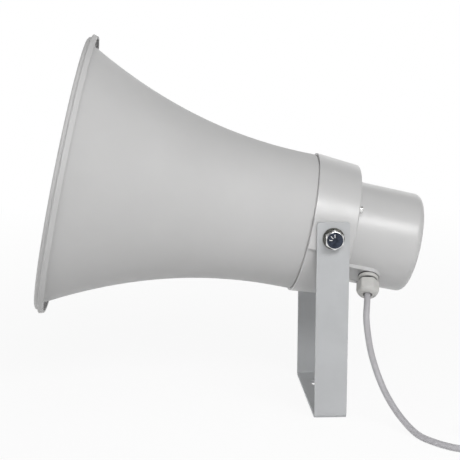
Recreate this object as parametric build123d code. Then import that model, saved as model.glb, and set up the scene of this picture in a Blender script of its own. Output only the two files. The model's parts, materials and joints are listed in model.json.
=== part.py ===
from build123d import *
import os
from math import atan, cos, radians, sin, sqrt, tan

# Folded horn speaker on a steel U-bracket, with its driver, transformer, gland and cable.
# Millimetres and degrees. +Z is up and the origin is the middle of the bracket base's underside.
# The horn tilts about a line along Y and its mouth faces -X.
# Horn pieces are drawn in the horn's own frame: the horn's axis is X through the pivot, and a
# station is the distance ahead of the pivot, so that a station s lies at x = -s.

# Bracket
pivot_height = 170.3
tilt = 11.8                     # the horn's axis above level
strip_width = 30.0
strip_thickness = 3.0
bend_radius = 4.5               # outside of the two bends
strip_corner = 2.0
leg_above_pivot = 15.0
base_hole_diameter = 8.5
base_hole_spacing = 60.0        # between the two outer holes

# Bell
mouth_diameter = 262.0
mouth_station = 254.9
flare_start = 30.0
flare_exponent = 2.07
bell_wall = 2.8
rim_depth = 9.4                 # from the rim's front to the rear edge of its skirt
rim_wall = 2.4
rim_bead = 3.2                  # round front edge of the rim
rim_channel = 7.1               # widest part of the open channel behind the rim
rim_web = 4.4                   # from the rim's front back to where the flare meets it
rim_step_station = 4.1          # from the rim's front to the step up to its skirt
rim_step = 3.3                  # the skirt stands out this far from the front bead
skirt_draft = 1.7               # how much the skirt's radius falls to its rear edge
back_corner_radius = 8.0

# Rear housing
collar_front = 20.5
collar_rear = -21.3
collar_step = 1.9               # collar above the bell's neck
collar_gap = 0.4                # groove seen between the collar and the bell's shoulder
sleeve_step = 0.8               # the bell's sleeve below its neck
collar_draft = 3.7              # how much the collar's radius falls to the rear
collar_edge = 2.5
socket_depth = 10.0
bulkhead_thickness = 3.0
skirt_wall = 3.3
ledge_width = 4.6
ledge_depth = 4.0
pad_rise = 3.2                  # pivot pad above the collar
pad_below = 14.0
pad_above = 15.5
pad_rear = -14.0
insert_diameter = 14.0
insert_length = 14.0
insert_boss_wall = 3.0

# Driver cap
cap_room = 6.3                  # between the magnet and the cap's wall
cap_draft = 0.9
cap_rear = -88.0
cap_corner = 7.0
cap_wall = 2.5
flange_thickness = 3.0
flange_sunk = 0.6
cap_flange_gap = 0.8
cap_flange_width = 10.9
cap_screw_diameter = 4.0
cap_screw_edge = 3.4            # from the screws' circle to the flange's edge
cap_screw_length = 10.0
cap_screw_angles = (30.0, 150.0, 270.0)

# Cable gland, its boss on the cap, and where its axis points: this far from straight down
# toward -Y, about the horn's axis
gland_angle = 46.0
gland_station = -47.0
boss_half_width = 12.2
boss_rise = 1.0                 # boss face above the cap
lip_rise = 1.3
lip_width = 1.5
boss_inside = 4.3               # flat inner seat below the cap's outer radius
gland_thread_diameter = 16.0
gland_flange_diameter = 20.6
gland_flange_thickness = 2.6
gland_neck_length = 3.6
gland_nut_flats = 19.0
gland_nut_turn = 8.0            # how far its flats stand from square to the cap
gland_nut_hex_length = 8.6
gland_nut_dome_length = 5.6
gland_nose_diameter = 12.0
lock_nut_flats = 20.0
lock_nut_thickness = 4.5

# Folded horn inside the bell
throat_radius = 9.5
spigot_wall = 5.5
tone_arm_end = 150.0
tone_arm_end_radius = 15.5
tone_arm_wall = 2.5
tone_flange_edge = 5.0          # from the driver screws' circle to the flange's edge
tone_arm_flange_thickness = 5.0
vane_thickness = 2.2
vane_rear = 72.0
vane_lead = 12.0                # slope at each vane's rear end
reflector_rear = 48.0
reflector_rear_radius = 45.0
reflector_front_radius = 37.5
reflector_wall = 2.5
reflector_screw_diameter = 5.0

# Driver
driver_screw_edge = 6.0         # from the screws' circle to the throat plate's edge
driver_screw_diameter = 5.0
driver_screw_angles = (45.0, 135.0, 225.0, 315.0)
driver_screw_short = 2.0        # its point stops this far inside the tone arm's flange
throat_plate_edge = 7.0         # throat plate beyond the magnet
throat_plate_flange = 5.0
throat_ring_depth = 4.7
dome_radius = 18.0
dome_height = 5.0
dome_wall = 0.6
dome_room = 1.6                 # from the dome's crown to the phase plug
throat_mouth_radius = 14.0
plug_nose = 2.0                 # phase plug's radius at its front
plug_radius = 5.7               # and at the dome
former_length = 10.0
coil_thickness = 0.8
air_gap = 0.6                   # each side of the voice coil and its former
top_plate_thickness = 6.0
magnet_edge = 4.0               # magnet beyond the plates
magnet_thickness = 16.0
surround_width = 10.4
yoke_thickness = 6.0
surround_clamp = 1.0
clamp_width = 7.0
surround_room = 3.2             # depth left in front of the surround's roll
yoke_hole_depth = 6.0

# Gaskets and running clearances
gasket = 1.0
fit = 0.3                       # between sleeves and round spigots
pad_gap = 0.2                   # between pivot pad and leg
bolt_clearance = 0.5            # round the bolt in the leg's hole

# Pivot bolts, M10
bolt_diameter = 10.0
bolt_flats = 16.0
bolt_head = 6.4
bolt_length = 20.0
flat_washer_diameter = 20.0
flat_washer_thickness = 1.6
spring_washer_diameter = 18.1
spring_washer_thickness = 2.2

# Transformer and terminals behind the driver
plate_steel = 1.5
core_width = 34.0
core_height = 28.0
core_depth = 20.0
foot_length = 10.0              # each foot of the strap beyond the core
foot_screw_offset = 6.0
transformer_offset = 9.0        # away from the gland, across and up
terminal_length = 22.0
terminal_width = 11.0
terminal_height = 10.0
terminals_below = 28.0          # top of the block below the gland's seat

# Cable
cable_diameter = 6.0
core_diameter = 2.2
conductor_diameter = 1.2
exit_run = 10.0
cable_route = [                 # in the world frame, after the straight run out of the gland
    (33.4, -65.3, 94.0), (34.9, -68.4, 80.0), (37.6, -70.3, 66.0), (41.6, -73.2, 53.0),
    (46.5, -78.5, 40.5), (52.8, -87.5, 28.5), (59.3, -101.5, 16.5), (65.5, -118.0, 6.5),
    (71.0, -134.0, 3.0), (80.0, -149.0, 3.0), (91.0, -161.5, 3.0), (103.0, -169.5, 3.2),
    (117.0, -172.0, 3.8), (128.0, -172.0, 3.8),
]
coil_centre = (152.0, -136.0)
coil_radius = 33.0              # at the middle of the turns
tie_width = 4.0
tie_thickness = 0.8
tail_route = [
    (188.0, -112.0, 15.8), (188.0, -99.0, 15.8), (187.5, -85.0, 11.0), (185.5, -71.0, 5.2),
    (182.0, -58.0, 3.0), (178.0, -46.0, 3.0),
]
core_length = 26.0
core_fan = 17.0                 # where the cores have spread and reached the floor
bare_length = 7.0

# Sizes that follow from those
mouth_radius = mouth_diameter / 2
skirt_radius = mouth_radius + rim_step
former_radius = dome_radius + dome_wall
clamp_radius = former_radius + surround_width
plate_radius = clamp_radius + clamp_width
magnet_radius = plate_radius + magnet_edge
throat_plate_radius = magnet_radius + throat_plate_edge
driver_screw_circle = throat_plate_radius - driver_screw_edge
tone_arm_flange_radius = driver_screw_circle + tone_flange_edge
cap_radius = magnet_radius + cap_room + cap_wall
flange_radius = cap_radius + cap_flange_width
cap_screw_circle = flange_radius - cap_screw_edge
skirt_inside = flange_radius + cap_flange_gap
collar_rear_radius = skirt_inside + skirt_wall
collar_front_radius = collar_rear_radius + collar_draft
neck_radius = collar_front_radius - collar_step
collar_pivot_radius = collar_rear_radius + collar_draft * -collar_rear / (collar_front - collar_rear)
pad_face = collar_pivot_radius + pad_rise
leg_inside = pad_face + pad_gap
leg_outside = leg_inside + strip_thickness
bulkhead_front = collar_front - socket_depth
bulkhead_back = bulkhead_front - bulkhead_thickness
bell_back_station = bulkhead_front + gasket
sleeve_radius = neck_radius - sleeve_step
socket_radius = sleeve_radius + fit
flange_rear = collar_rear + flange_sunk
flange_front = flange_rear + flange_thickness
ledge_station = flange_front + gasket
spigot_radius = throat_radius + spigot_wall
hub_hole_radius = spigot_radius + fit
tone_flange_back = bell_back_station + bell_wall
tone_flange_front = tone_flange_back + tone_arm_flange_thickness
gland_face = cap_radius + boss_rise
gland_seat = cap_radius - boss_inside
gland_flange_top = gland_face + gasket + gland_flange_thickness
gland_nut_base = gland_flange_top + gland_neck_length
gland_nose = gland_nut_base + gland_nut_hex_length + gland_nut_dome_length
driver_front = bulkhead_back - gasket
throat_flange_back = driver_front - throat_plate_flange
throat_plate_back = throat_flange_back - throat_ring_depth
top_plate_front = throat_plate_back - surround_clamp
top_plate_back = top_plate_front - top_plate_thickness
magnet_back = top_plate_back - magnet_thickness
yoke_back = magnet_back - yoke_thickness
driver_screw_hole = driver_screw_diameter / 2 + fit
driver_screw_length = tone_flange_front - driver_screw_short - throat_flange_back
throat_mouth = throat_plate_back + dome_height + dome_room
pole_radius = dome_radius - air_gap
gap_radius = former_radius + coil_thickness + air_gap
coil_turns_across = 2
coil_turns_high = 3
coil_half_width = coil_turns_across * cable_diameter / 2
coil_height = coil_turns_high * cable_diameter

# Places
HORN_SECTION = Plane(origin=(0, 0, 0), x_dir=(-1, 0, 0), z_dir=(0, 1, 0))
HORN_PLACE = Pos(0, 0, pivot_height) * Rot(0, tilt, 0)
GLAND_PLACE = Pos(-gland_station, 0, 0) * Rot(180 - gland_angle, 0, 0)

pieces = {}


def add(name, shape, place=Pos(0, 0, 0)):
    """Keep a piece, or a list of like pieces, under its name, moved into the world frame."""
    if isinstance(shape, list):
        pieces[name] = Compound([(place * one).solid() for one in shape])
    else:
        pieces[name] = place * shape


def section(*edges):
    """A closed outline of edges drawn as (station, radius), as a face in the horn's section."""
    return HORN_SECTION * make_face(Wire(edges))


def turned(*edges):
    """The solid that an outline of (station, radius) edges makes when turned round the axis."""
    return revolve(section(*edges), Axis.X)


def outline(*points):
    """Straight edges round the given (station, radius) points, back to the first."""
    return Polyline(*points, close=True).edges()


def ring(front, rear, outside, inside=0.0):
    """A plain ring or disc round the horn's axis between two stations."""
    return turned(*outline((front, inside), (front, outside), (rear, outside), (rear, inside)))


def stud(front, rear, radius, circle, angle):
    """A round bar parallel to the horn's axis, on a circle; angle 0 is toward -Y, 90 is up."""
    y = -circle * cos(radians(angle))
    z = circle * sin(radians(angle))
    return Pos(-(front + rear) / 2, y, z) * Rot(0, 90, 0) * Cylinder(radius, front - rear)


def drilled(shape, front, rear, radius):
    """The shape with the driver screws' holes through it between two stations."""
    for angle in driver_screw_angles:
        shape -= stud(front + 1, rear - 1, radius, driver_screw_circle, angle)
    return shape


def cross_bar(start, end, radius):
    """A round bar along Y between two y values."""
    return Pos(0, (start + end) / 2, 0) * Rot(90, 0, 0) * Cylinder(radius, abs(end - start))


def block(low, high):
    """A box between two corners."""
    size = [high[i] - low[i] for i in range(3)]
    centre = [(high[i] + low[i]) / 2 for i in range(3)]
    return Pos(*centre) * Box(*size)


def hexagon(flats, height):
    """A hexagonal prism standing on z = 0, its corners toward plus and minus X."""
    return extrude(RegularPolygon(flats / 2, 6, major_radius=False), height)


def dome_arc(edge, crown, radius):
    """The arc of a shallow dome, from its edge at a radius to its crown on the axis."""
    height = crown - edge
    sphere = (radius ** 2 + height ** 2) / (2 * height)
    half_angle = atan(radius / (sphere - height)) / 2
    middle = (crown - sphere + sphere * cos(half_angle), sphere * sin(half_angle))
    return ThreePointArc((edge, radius), middle, (crown, 0)).edge()


def pipe(points, diameter, bends=None):
    """A round bar along straight runs joined by arcs as large as the runs allow."""
    corners = [Vector(*p) for p in points]
    runs = [b - a for a, b in zip(corners, corners[1:])]
    radii = []
    for before, after in zip(runs, runs[1:]):
        half_turn = radians(before.get_angle(after)) / 2
        radii.append(0.45 * min(before.length, after.length) / tan(half_turn))
    if bends is not None:
        bends.extend(radii)
    path = FilletPolyline(*corners, radius=radii) if radii else Line(*corners)
    start = Plane(origin=path @ 0, z_dir=path % 0)
    return sweep(start * Circle(diameter / 2), path=path)


# The bell's flare
flare_end = mouth_station - rim_web
flare_end_radius = skirt_radius - rim_wall - rim_channel


def flare_radius(station):
    """Outside radius of the bell: a power of the distance past the start of the flare."""
    share = (station - flare_start) / (flare_end - flare_start)
    return neck_radius + (flare_end_radius - neck_radius) * max(share, 0.0) ** flare_exponent


def flare_slope(station):
    """How fast the flare's radius grows with the station."""
    share = max((station - flare_start) / (flare_end - flare_start), 0.0)
    growth = (flare_end_radius - neck_radius) * flare_exponent / (flare_end - flare_start)
    return growth * share ** (flare_exponent - 1)


def flare_inside(station):
    """The point of the bell's inner face across the wall from a station on its outer face."""
    slope = atan(flare_slope(station))
    return station + bell_wall * sin(slope), flare_radius(station) - bell_wall * cos(slope)


flare_stations = [flare_start + (flare_end - flare_start) * i / 5 for i in range(6)]


def bell():
    """The flared mouth: back wall, sleeve for the collar, flare, bead and turned-back skirt."""
    shoulder = collar_front + collar_gap
    inner_back = bell_back_station + bell_wall
    inner_neck = neck_radius - bell_wall
    corner = back_corner_radius
    lip_slope = flare_slope(flare_end)
    outer_points = [(s, flare_radius(s)) for s in flare_stations]
    outer_flare = Spline(*outer_points, tangents=[(1, 0), (1, lip_slope)])
    inner_points = [flare_inside(s) for s in flare_stations]
    inner_flare = Spline(*inner_points[::-1], tangents=[(-1, -lip_slope), (-1, 0)])
    lip = inner_points[-1]
    skirt_front = mouth_station - rim_step_station
    skirt_rear = mouth_station - rim_depth
    skirt_rear_radius = skirt_radius - skirt_draft
    crown = (mouth_station, mouth_radius - rim_bead)
    back = Polyline(
        (inner_back, hub_hole_radius), (bell_back_station, hub_hole_radius),
        (bell_back_station, sleeve_radius - 1.5), (bell_back_station + 1.5, sleeve_radius),
        (shoulder, sleeve_radius), (shoulder, neck_radius), (flare_start, neck_radius),
    )
    skirt = Polyline(
        (flare_end, flare_end_radius), (flare_end, mouth_radius - rim_wall),
        (skirt_front - rim_wall, skirt_radius - rim_wall),
        (skirt_rear, skirt_rear_radius - rim_wall), (skirt_rear, skirt_rear_radius),
        (skirt_front, skirt_radius), (skirt_front, mouth_radius),
        (mouth_station - rim_bead, mouth_radius),
    )
    bead = RadiusArc((mouth_station - rim_bead, mouth_radius), crown, rim_bead)
    front = TangentArc(crown, lip, tangent=(0, -1))
    neck = Line((flare_start, inner_neck), (inner_back + corner, inner_neck))
    turn = TangentArc(
        (inner_back + corner, inner_neck), (inner_back, inner_neck - corner), tangent=(-1, 0)
    )
    close = Line((inner_back, inner_neck - corner), (inner_back, hub_hole_radius))
    shell = turned(
        *back.edges(), outer_flare.edge(), *skirt.edges(), bead.edge(), front.edge(),
        inner_flare.edge(), neck.edge(), turn.edge(), close.edge(),
    )
    return drilled(shell, inner_back, bell_back_station, driver_screw_hole)


def rear_housing():
    """Collar, bulkhead and skirt in one moulding, with pivot pads and screw bosses."""
    draft = collar_draft / (collar_front - collar_rear)
    edge = collar_edge
    body = turned(
        *Polyline(
            (collar_front, socket_radius + 0.5), (collar_front, collar_front_radius - 0.6),
            (collar_front - 0.6, collar_front_radius),
            (collar_rear + edge, collar_rear_radius + draft * edge),
        ).edges(),
        TangentArc(
            (collar_rear + edge, collar_rear_radius + draft * edge),
            (collar_rear, collar_rear_radius - edge), tangent=(-1, -draft),
        ).edge(),
        *Polyline(
            (collar_rear, collar_rear_radius - edge), (collar_rear, flange_radius + fit),
            (ledge_station, flange_radius + fit), (ledge_station, skirt_inside - ledge_width),
            (ledge_station + ledge_depth, skirt_inside - ledge_width),
            (ledge_station + ledge_depth + ledge_width, skirt_inside), (bulkhead_back, skirt_inside),
            (bulkhead_back, hub_hole_radius), (bulkhead_front, hub_hole_radius),
            (bulkhead_front, socket_radius), (collar_front - 0.5, socket_radius),
            (collar_front, socket_radius + 0.5),
        ).edges(),
    )
    hollow = ring(collar_front + 1, bulkhead_front, socket_radius)
    hollow += ring(bulkhead_back, ledge_station + ledge_depth + ledge_width, skirt_inside)
    for side in (-1, 1):
        near, far = sorted((side * (skirt_inside - 2), side * pad_face))
        pad = block((-collar_front, near, -pad_below), (-pad_rear, far, pad_above))
        pad = fillet(pad.edges().filter_by(Axis.Y).group_by(Axis.X)[-1], 3.0)
        boss_end = side * (pad_face - insert_length - insert_boss_wall)
        boss = cross_bar(boss_end, side * pad_face, insert_diameter / 2 + insert_boss_wall)
        body += pad - hollow
        body += boss - ring(collar_front + 1, bulkhead_front, socket_radius)
        body -= cross_bar(side * (pad_face - insert_length), side * (pad_face + 1), insert_diameter / 2)
        body -= cross_bar(side * (pad_face - insert_length), boss_end, bolt_diameter / 2 + fit)
    for angle in cap_screw_angles:
        body += stud(bulkhead_back + 0.1, ledge_station, cap_screw_diameter, cap_screw_circle, angle)
        hole_end = flange_rear + cap_screw_length + 1
        body -= stud(hole_end, ledge_station, cap_screw_diameter / 2, cap_screw_circle, angle)
    return drilled(body, bulkhead_front, bulkhead_back, driver_screw_hole)


def boss_outline(half_width):
    """The gland boss's outline: straight sides from the flange, and a round end on the gland."""
    straight = -gland_station + flange_rear
    flat = Pos(-straight / 2, 0) * Rectangle(straight, 2 * half_width)
    return flat + Circle(half_width)


def driver_cap():
    """The cup over the driver: mounting flange, tapered wall, and the gland's boss."""
    inner = cap_radius - cap_wall
    rear_radius = cap_radius - cap_draft
    draft = cap_draft / (flange_rear - cap_rear)
    corner = cap_corner
    inside_corner = corner - cap_wall
    shell = turned(
        *Polyline(
            (flange_front, inner), (flange_front, flange_radius - 0.5),
            (flange_front - 0.5, flange_radius), (flange_rear, flange_radius),
            (flange_rear, cap_radius), (cap_rear + corner, rear_radius + draft * corner),
        ).edges(),
        TangentArc(
            (cap_rear + corner, rear_radius + draft * corner), (cap_rear, rear_radius - corner),
            tangent=(-1, -draft),
        ).edge(),
        *Polyline(
            (cap_rear, rear_radius - corner), (cap_rear, 0), (cap_rear + cap_wall, 0),
            (cap_rear + cap_wall, rear_radius - corner),
        ).edges(),
        TangentArc(
            (cap_rear + cap_wall, rear_radius - corner),
            (cap_rear + corner, rear_radius - cap_wall), tangent=(0, 1),
        ).edge(),
        Line((cap_rear + corner, rear_radius - cap_wall), (flange_front, inner)).edge(),
    )
    boss = extrude(boss_outline(boss_half_width), gland_face + lip_rise - gland_seat)
    boss = Pos(0, 0, gland_seat) * boss
    recess = Pos(0, 0, gland_face) * extrude(boss_outline(boss_half_width - lip_width), 2 * lip_rise)
    shell += GLAND_PLACE * boss
    shell -= GLAND_PLACE * recess
    bore = Pos(0, 0, gland_face) * Cylinder(gland_thread_diameter / 2 + fit, 4 * boss_inside)
    shell -= GLAND_PLACE * bore
    for angle in cap_screw_angles:
        hole = cap_screw_diameter / 2 + fit
        shell -= stud(flange_front + 1, flange_rear - 1, hole, cap_screw_circle, angle)
    return shell


def pan_screw(diameter, length, head_radius, head_height):
    """A screw standing on its point side: shank from z = -length to 0, domed head above."""
    rise = head_height * 0.55
    shoulder = (head_radius * 0.72, head_height * 0.88)
    head = revolve(
        Plane.XZ * make_face(Wire([
            Line((0, 0), (head_radius, 0)).edge(),
            Line((head_radius, 0), (head_radius, rise)).edge(),
            ThreePointArc((head_radius, rise), shoulder, (0, head_height)).edge(),
            Line((0, head_height), (0, 0)).edge(),
        ])),
        Axis.Z,
    )
    slot = Box(head_radius * 1.1, head_radius * 0.3, head_height)
    slot += Rot(0, 0, 90) * slot
    shank = Pos(0, 0, -length / 2) * Cylinder(diameter / 2, length)
    return head + shank - Pos(0, 0, head_height) * slot


def axial_screws(screw, seat, circle, angles):
    """Copies of a screw on a circle, heads to the rear, seated at a station."""
    placed = []
    for angle in angles:
        y = -circle * cos(radians(angle))
        z = circle * sin(radians(angle))
        placed.append(Pos(-seat, y, z) * Rot(0, 90, 0) * screw)
    return placed


def tone_radius(station):
    """Inside radius of the tone arm: grows by equal ratios from the throat to its front end."""
    share = (station - bulkhead_back) / (tone_arm_end - bulkhead_back)
    return throat_radius * (tone_arm_end_radius / throat_radius) ** share


def reflector_inside(station):
    """Inside radius of the reflector's tapered wall."""
    share = (station - reflector_rear) / (tone_arm_end - reflector_rear)
    outside = reflector_rear_radius + (reflector_front_radius - reflector_rear_radius) * share
    return outside - reflector_wall


def tone_arm():
    """The central tube: base flange, growing bore, three vanes and the hub for the reflector."""
    stations = [bulkhead_back + (tone_arm_end - bulkhead_back) * i / 4 for i in range(5)]
    bore = Spline(*[(s, tone_radius(s)) for s in stations[::-1]])
    base = tone_flange_front
    outer_start = tone_radius(base + 8) + tone_arm_wall
    outer_end = tone_radius(tone_arm_end) + tone_arm_wall
    tube = turned(
        *Polyline(
            (bulkhead_back, throat_radius), (bulkhead_back, spigot_radius),
            (tone_flange_back, spigot_radius), (tone_flange_back, tone_arm_flange_radius),
            (base - 2, tone_arm_flange_radius), (base, tone_arm_flange_radius - 2),
            (base, outer_start + 8),
        ).edges(),
        TangentArc((base, outer_start + 8), (base + 8, outer_start), tangent=(0, -1)).edge(),
        *Polyline(
            (base + 8, outer_start), (tone_arm_end, outer_end),
            (tone_arm_end, tone_radius(tone_arm_end)),
        ).edges(),
        bore.edge(),
    )
    vane_edge = tone_arm_end - 4
    vane = HORN_SECTION * make_face(Polyline(
        (vane_rear, tone_radius(vane_rear) + 1),
        (vane_rear + vane_lead, reflector_inside(vane_rear + vane_lead) - fit),
        (vane_edge, reflector_inside(vane_edge) - fit), (vane_edge, tone_radius(vane_edge) + 1),
        close=True,
    ).edges())
    arm_rear = tone_arm_end - 8
    arm = HORN_SECTION * make_face(Polyline(
        (arm_rear, 0), (tone_arm_end, 0), (tone_arm_end, tone_radius(tone_arm_end) + 1),
        (arm_rear, tone_radius(arm_rear) + 1), close=True,
    ).edges())
    for index in range(3):
        turn = Rot(30 + 120 * index, 0, 0)
        tube += turn * extrude(vane, vane_thickness / 2, both=True)
        tube += turn * extrude(arm, vane_thickness / 2, both=True)
    tube += ring(tone_arm_end, arm_rear - 4, reflector_screw_diameter)
    tube -= ring(tone_arm_end + 1, arm_rear - 5, reflector_screw_diameter / 2)
    return drilled(tube, tone_flange_front - 2, tone_flange_back, driver_screw_diameter / 2)


def on_dome(radius, height):
    """The point of the reflector's nose dome, of a given radius, at a height above the axis."""
    return tone_arm_end + sqrt(radius ** 2 - height ** 2), height


def reflector():
    """The round-nosed bowl: tapered wall open to the rear, dome nose with a boss for its screw."""
    outside = reflector_front_radius
    inside = outside - reflector_wall
    shoulder = tone_arm_end
    rear = reflector_rear
    rear_inside = reflector_rear_radius - reflector_wall
    sink = reflector_screw_diameter + 0.2
    hole = reflector_screw_diameter / 2 + fit
    boss = 1.4 * reflector_screw_diameter
    rim = on_dome(outside, sink)
    return turned(
        *Polyline((rear + 0.8, reflector_rear_radius), (shoulder, outside)).edges(),
        ThreePointArc((shoulder, outside), on_dome(outside, outside * 0.7), rim).edge(),
        *Polyline(
            rim, (rim[0] - sink + hole, hole), (tone_arm_end + 0.05, hole),
            (tone_arm_end + 0.05, boss), on_dome(inside, boss),
        ).edges(),
        ThreePointArc(on_dome(inside, boss), on_dome(inside, inside * 0.7), (shoulder, inside)).edge(),
        *Polyline(
            (shoulder, inside), (rear, rear_inside), (rear, reflector_rear_radius - 0.8),
            (rear + 0.8, reflector_rear_radius),
        ).edges(),
    )


def reflector_screw():
    """The countersunk screw in the reflector's nose, into the tone arm's hub."""
    front = on_dome(reflector_front_radius, reflector_screw_diameter)[0] - 0.3
    radius = reflector_screw_diameter / 2
    head = 1.8 * radius
    screw = turned(*outline(
        (front, 0), (front, head), (front - head + radius, radius), (tone_arm_end - 9, radius),
        (tone_arm_end - 9, 0),
    ))
    cross = block((-front - 1, -0.5, -2.6), (-front + 1.6, 0.5, 2.6))
    return screw - cross - Rot(90, 0, 0) * cross


def throat_plate():
    """The driver's front plate: mounting flange, flared throat, and the ring over the surround."""
    front, middle, back = driver_front, throat_flange_back, throat_plate_back
    plate = turned(*outline(
        (front, throat_radius), (front, throat_plate_radius), (middle, throat_plate_radius),
        (middle, plate_radius), (back, plate_radius), (back, clamp_radius),
        (back + surround_room, clamp_radius), (back + surround_room, former_radius + 2),
        (throat_mouth, throat_mouth_radius),
    ))
    return drilled(plate, front, middle, driver_screw_hole)


def phase_plug():
    """The bullet in the throat, on three thin ribs that follow the flared bore."""
    front, rear = driver_front, throat_mouth
    bullet = turned(*outline((front, 0), (front, plug_nose), (rear, plug_radius), (rear, 0)))
    rib = HORN_SECTION * make_face(Polyline(
        (front, 0), (front, throat_radius - fit), (rear, throat_mouth_radius - fit), (rear, 0),
        close=True,
    ).edges())
    for index in range(3):
        bullet += Rot(120 * index, 0, 0) * extrude(rib, 0.6, both=True)
    return bullet


def diaphragm():
    """The dome and the short former that carries the voice coil."""
    edge = throat_plate_back - surround_clamp / 2
    crown = edge + dome_height
    return turned(
        dome_arc(edge, crown, former_radius),
        Line((crown, 0), (crown - dome_wall, 0)).edge(),
        dome_arc(edge, crown - dome_wall, dome_radius),
        *Polyline(
            (edge, dome_radius), (edge - former_length, dome_radius),
            (edge - former_length, former_radius), (edge, former_radius),
        ).edges(),
    )


def surround():
    """The rolled ring between the dome and its clamp."""
    middle = throat_plate_back - surround_clamp / 2
    half = surround_clamp / 2
    inner = former_radius
    clamp = clamp_radius
    crest = (inner + clamp) / 2
    roll = surround_room - 1.2
    return turned(
        Line((middle - half, inner), (middle + half, inner)).edge(),
        ThreePointArc(
            (middle + half, inner), (middle + half + roll, crest), (middle + half, clamp)
        ).edge(),
        *Polyline(
            (middle + half, clamp), (middle + half, plate_radius - 1),
            (middle - half, plate_radius - 1), (middle - half, clamp),
        ).edges(),
        ThreePointArc(
            (middle - half, clamp), (middle - half + roll, crest), (middle - half, inner)
        ).edge(),
    )


def yoke():
    """The back plate and pole in one turning, with the pole's vent."""
    body = ring(magnet_back, yoke_back, plate_radius) + ring(top_plate_front, magnet_back - 1, pole_radius)
    body = chamfer(body.edges().filter_by(GeomType.CIRCLE).group_by(Axis.X)[-1], 1.0)
    for y, z in transformer_screw_places():
        body -= Pos(-yoke_back, y, z) * Rot(0, 90, 0) * Cylinder(1.5, 2 * yoke_hole_depth)
    return body - ring(top_plate_front + 1, yoke_back - 1, 4.0)


def transformer_screw_places():
    """Where the bracket's two feet are screwed to the yoke: (y, z)."""
    reach = core_width / 2 + foot_screw_offset
    return [(transformer_offset + side * reach, transformer_offset) for side in (-1, 1)]


def transformer_bracket():
    """The bent steel strap that holds the core down on the yoke, with two feet."""
    front = -yoke_back
    y, z = transformer_offset, transformer_offset
    half = core_width / 2
    top = front + core_height + 0.1
    width = core_depth * 0.6
    end = half + foot_length
    strap = block((front, y - end, z - width / 2), (top + plate_steel, y + end, z + width / 2))
    strap -= block((front - 1, y - half - 0.1, z - width), (top, y + half + 0.1, z + width))
    for side in (-1, 1):
        near, far = sorted((y + side * (half + 0.1 + plate_steel), y + side * (end + 1)))
        strap -= block((front + plate_steel, near, z - width), (top + plate_steel + 1, far, z + width))
    for hole_y, hole_z in transformer_screw_places():
        strap -= Pos(front, hole_y, hole_z) * Rot(0, 90, 0) * Cylinder(1.7, 6)
    return strap


def transformer_core():
    """The stack of laminations with its two windows."""
    front = -yoke_back + 0.05
    y, z = transformer_offset, transformer_offset
    half, deep = core_width / 2, core_depth / 2
    core = block((front, y - half, z - deep), (front + core_height, y + half, z + deep))
    window = core_width / 6
    for side in (-1, 1):
        middle = y + side * core_width / 4
        low = (front + window, middle - window / 2, z - deep - 1)
        high = (front + core_height - window, middle + window / 2, z + deep + 1)
        core -= block(low, high)
    return core


def transformer_winding():
    """The bobbin with its winding, round the core's middle leg and out through both windows."""
    front = -yoke_back + 0.05
    y, z = transformer_offset, transformer_offset
    window = core_width / 6
    half = core_width / 4 + window / 2 - 0.1
    deep = core_depth / 2 + 4
    low, high = front + window + 0.1, front + core_height - window - 0.1
    coil = block((low, y - half, z - deep), (high, y + half, z + deep))
    coil = fillet(coil.edges().filter_by(Axis.X), 3.0)
    leg = core_width / 4 - window / 2 + 0.1
    reach = core_depth / 2 + 0.1
    return coil - block((low - 1, y - leg, z - reach), (high + 1, y + leg, z + reach))


def terminal_block():
    """Two-way terminal block on the yoke's back, below the gland: wells for its screws."""
    inner = gland_seat - terminals_below
    body = Pos(0, 0, inner - terminal_height / 2) * Box(terminal_width, terminal_length, terminal_height)
    for side in (-1, 1):
        body -= Pos(0, side * terminal_length / 4, inner - 1.5) * Cylinder(1.6, 3.01)
        screw_hole = Pos(terminal_width / 2 - 1.4, side * terminal_length / 4, inner - 5)
        body -= screw_hole * Rot(0, 90, 0) * Cylinder(1.8, 3)
    return fillet(body.edges().filter_by(Axis.Z), 1.0)


def bracket():
    """The bent strip: base with three holes, two bends, two legs with a bolt hole each."""
    outside = leg_outside
    top = pivot_height + leg_above_pivot
    half = strip_width / 2
    profile = Polyline((-outside, top), (-outside, 0), (outside, 0), (outside, top))
    inner = Polyline(
        (leg_inside, top), (leg_inside, strip_thickness), (-leg_inside, strip_thickness),
        (-leg_inside, top),
    )
    join = [Line((outside, top), (leg_inside, top)), Line((-leg_inside, top), (-outside, top))]
    face = make_face(Wire([*profile.edges(), join[0].edge(), *inner.edges(), join[1].edge()]))
    strip = extrude(Plane.YZ * face, half, both=True)
    strip = fillet(strip.edges().filter_by(Axis.X).group_by(Axis.Z)[0], bend_radius)
    inner_corners = strip.edges().filter_by(Axis.X).filter_by_position(
        Axis.Z, strip_thickness - 0.01, strip_thickness + 0.01
    )
    strip = fillet(inner_corners, bend_radius - strip_thickness)
    strip = fillet(strip.edges().filter_by(Axis.Y).group_by(Axis.Z)[-1], strip_corner)
    hole = bolt_diameter / 2 + bolt_clearance
    strip -= Pos(0, 0, pivot_height) * Rot(90, 0, 0) * Cylinder(hole, 3 * outside)
    for y in (-base_hole_spacing / 2, 0, base_hole_spacing / 2):
        strip -= Pos(0, y, 0) * Cylinder(base_hole_diameter / 2, 4 * strip_thickness)
    return strip


def both_sides(shape):
    """A piece drawn on the far side (+Y) and its mirror image on the near side."""
    return [shape, mirror(shape, Plane.XZ)]


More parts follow.
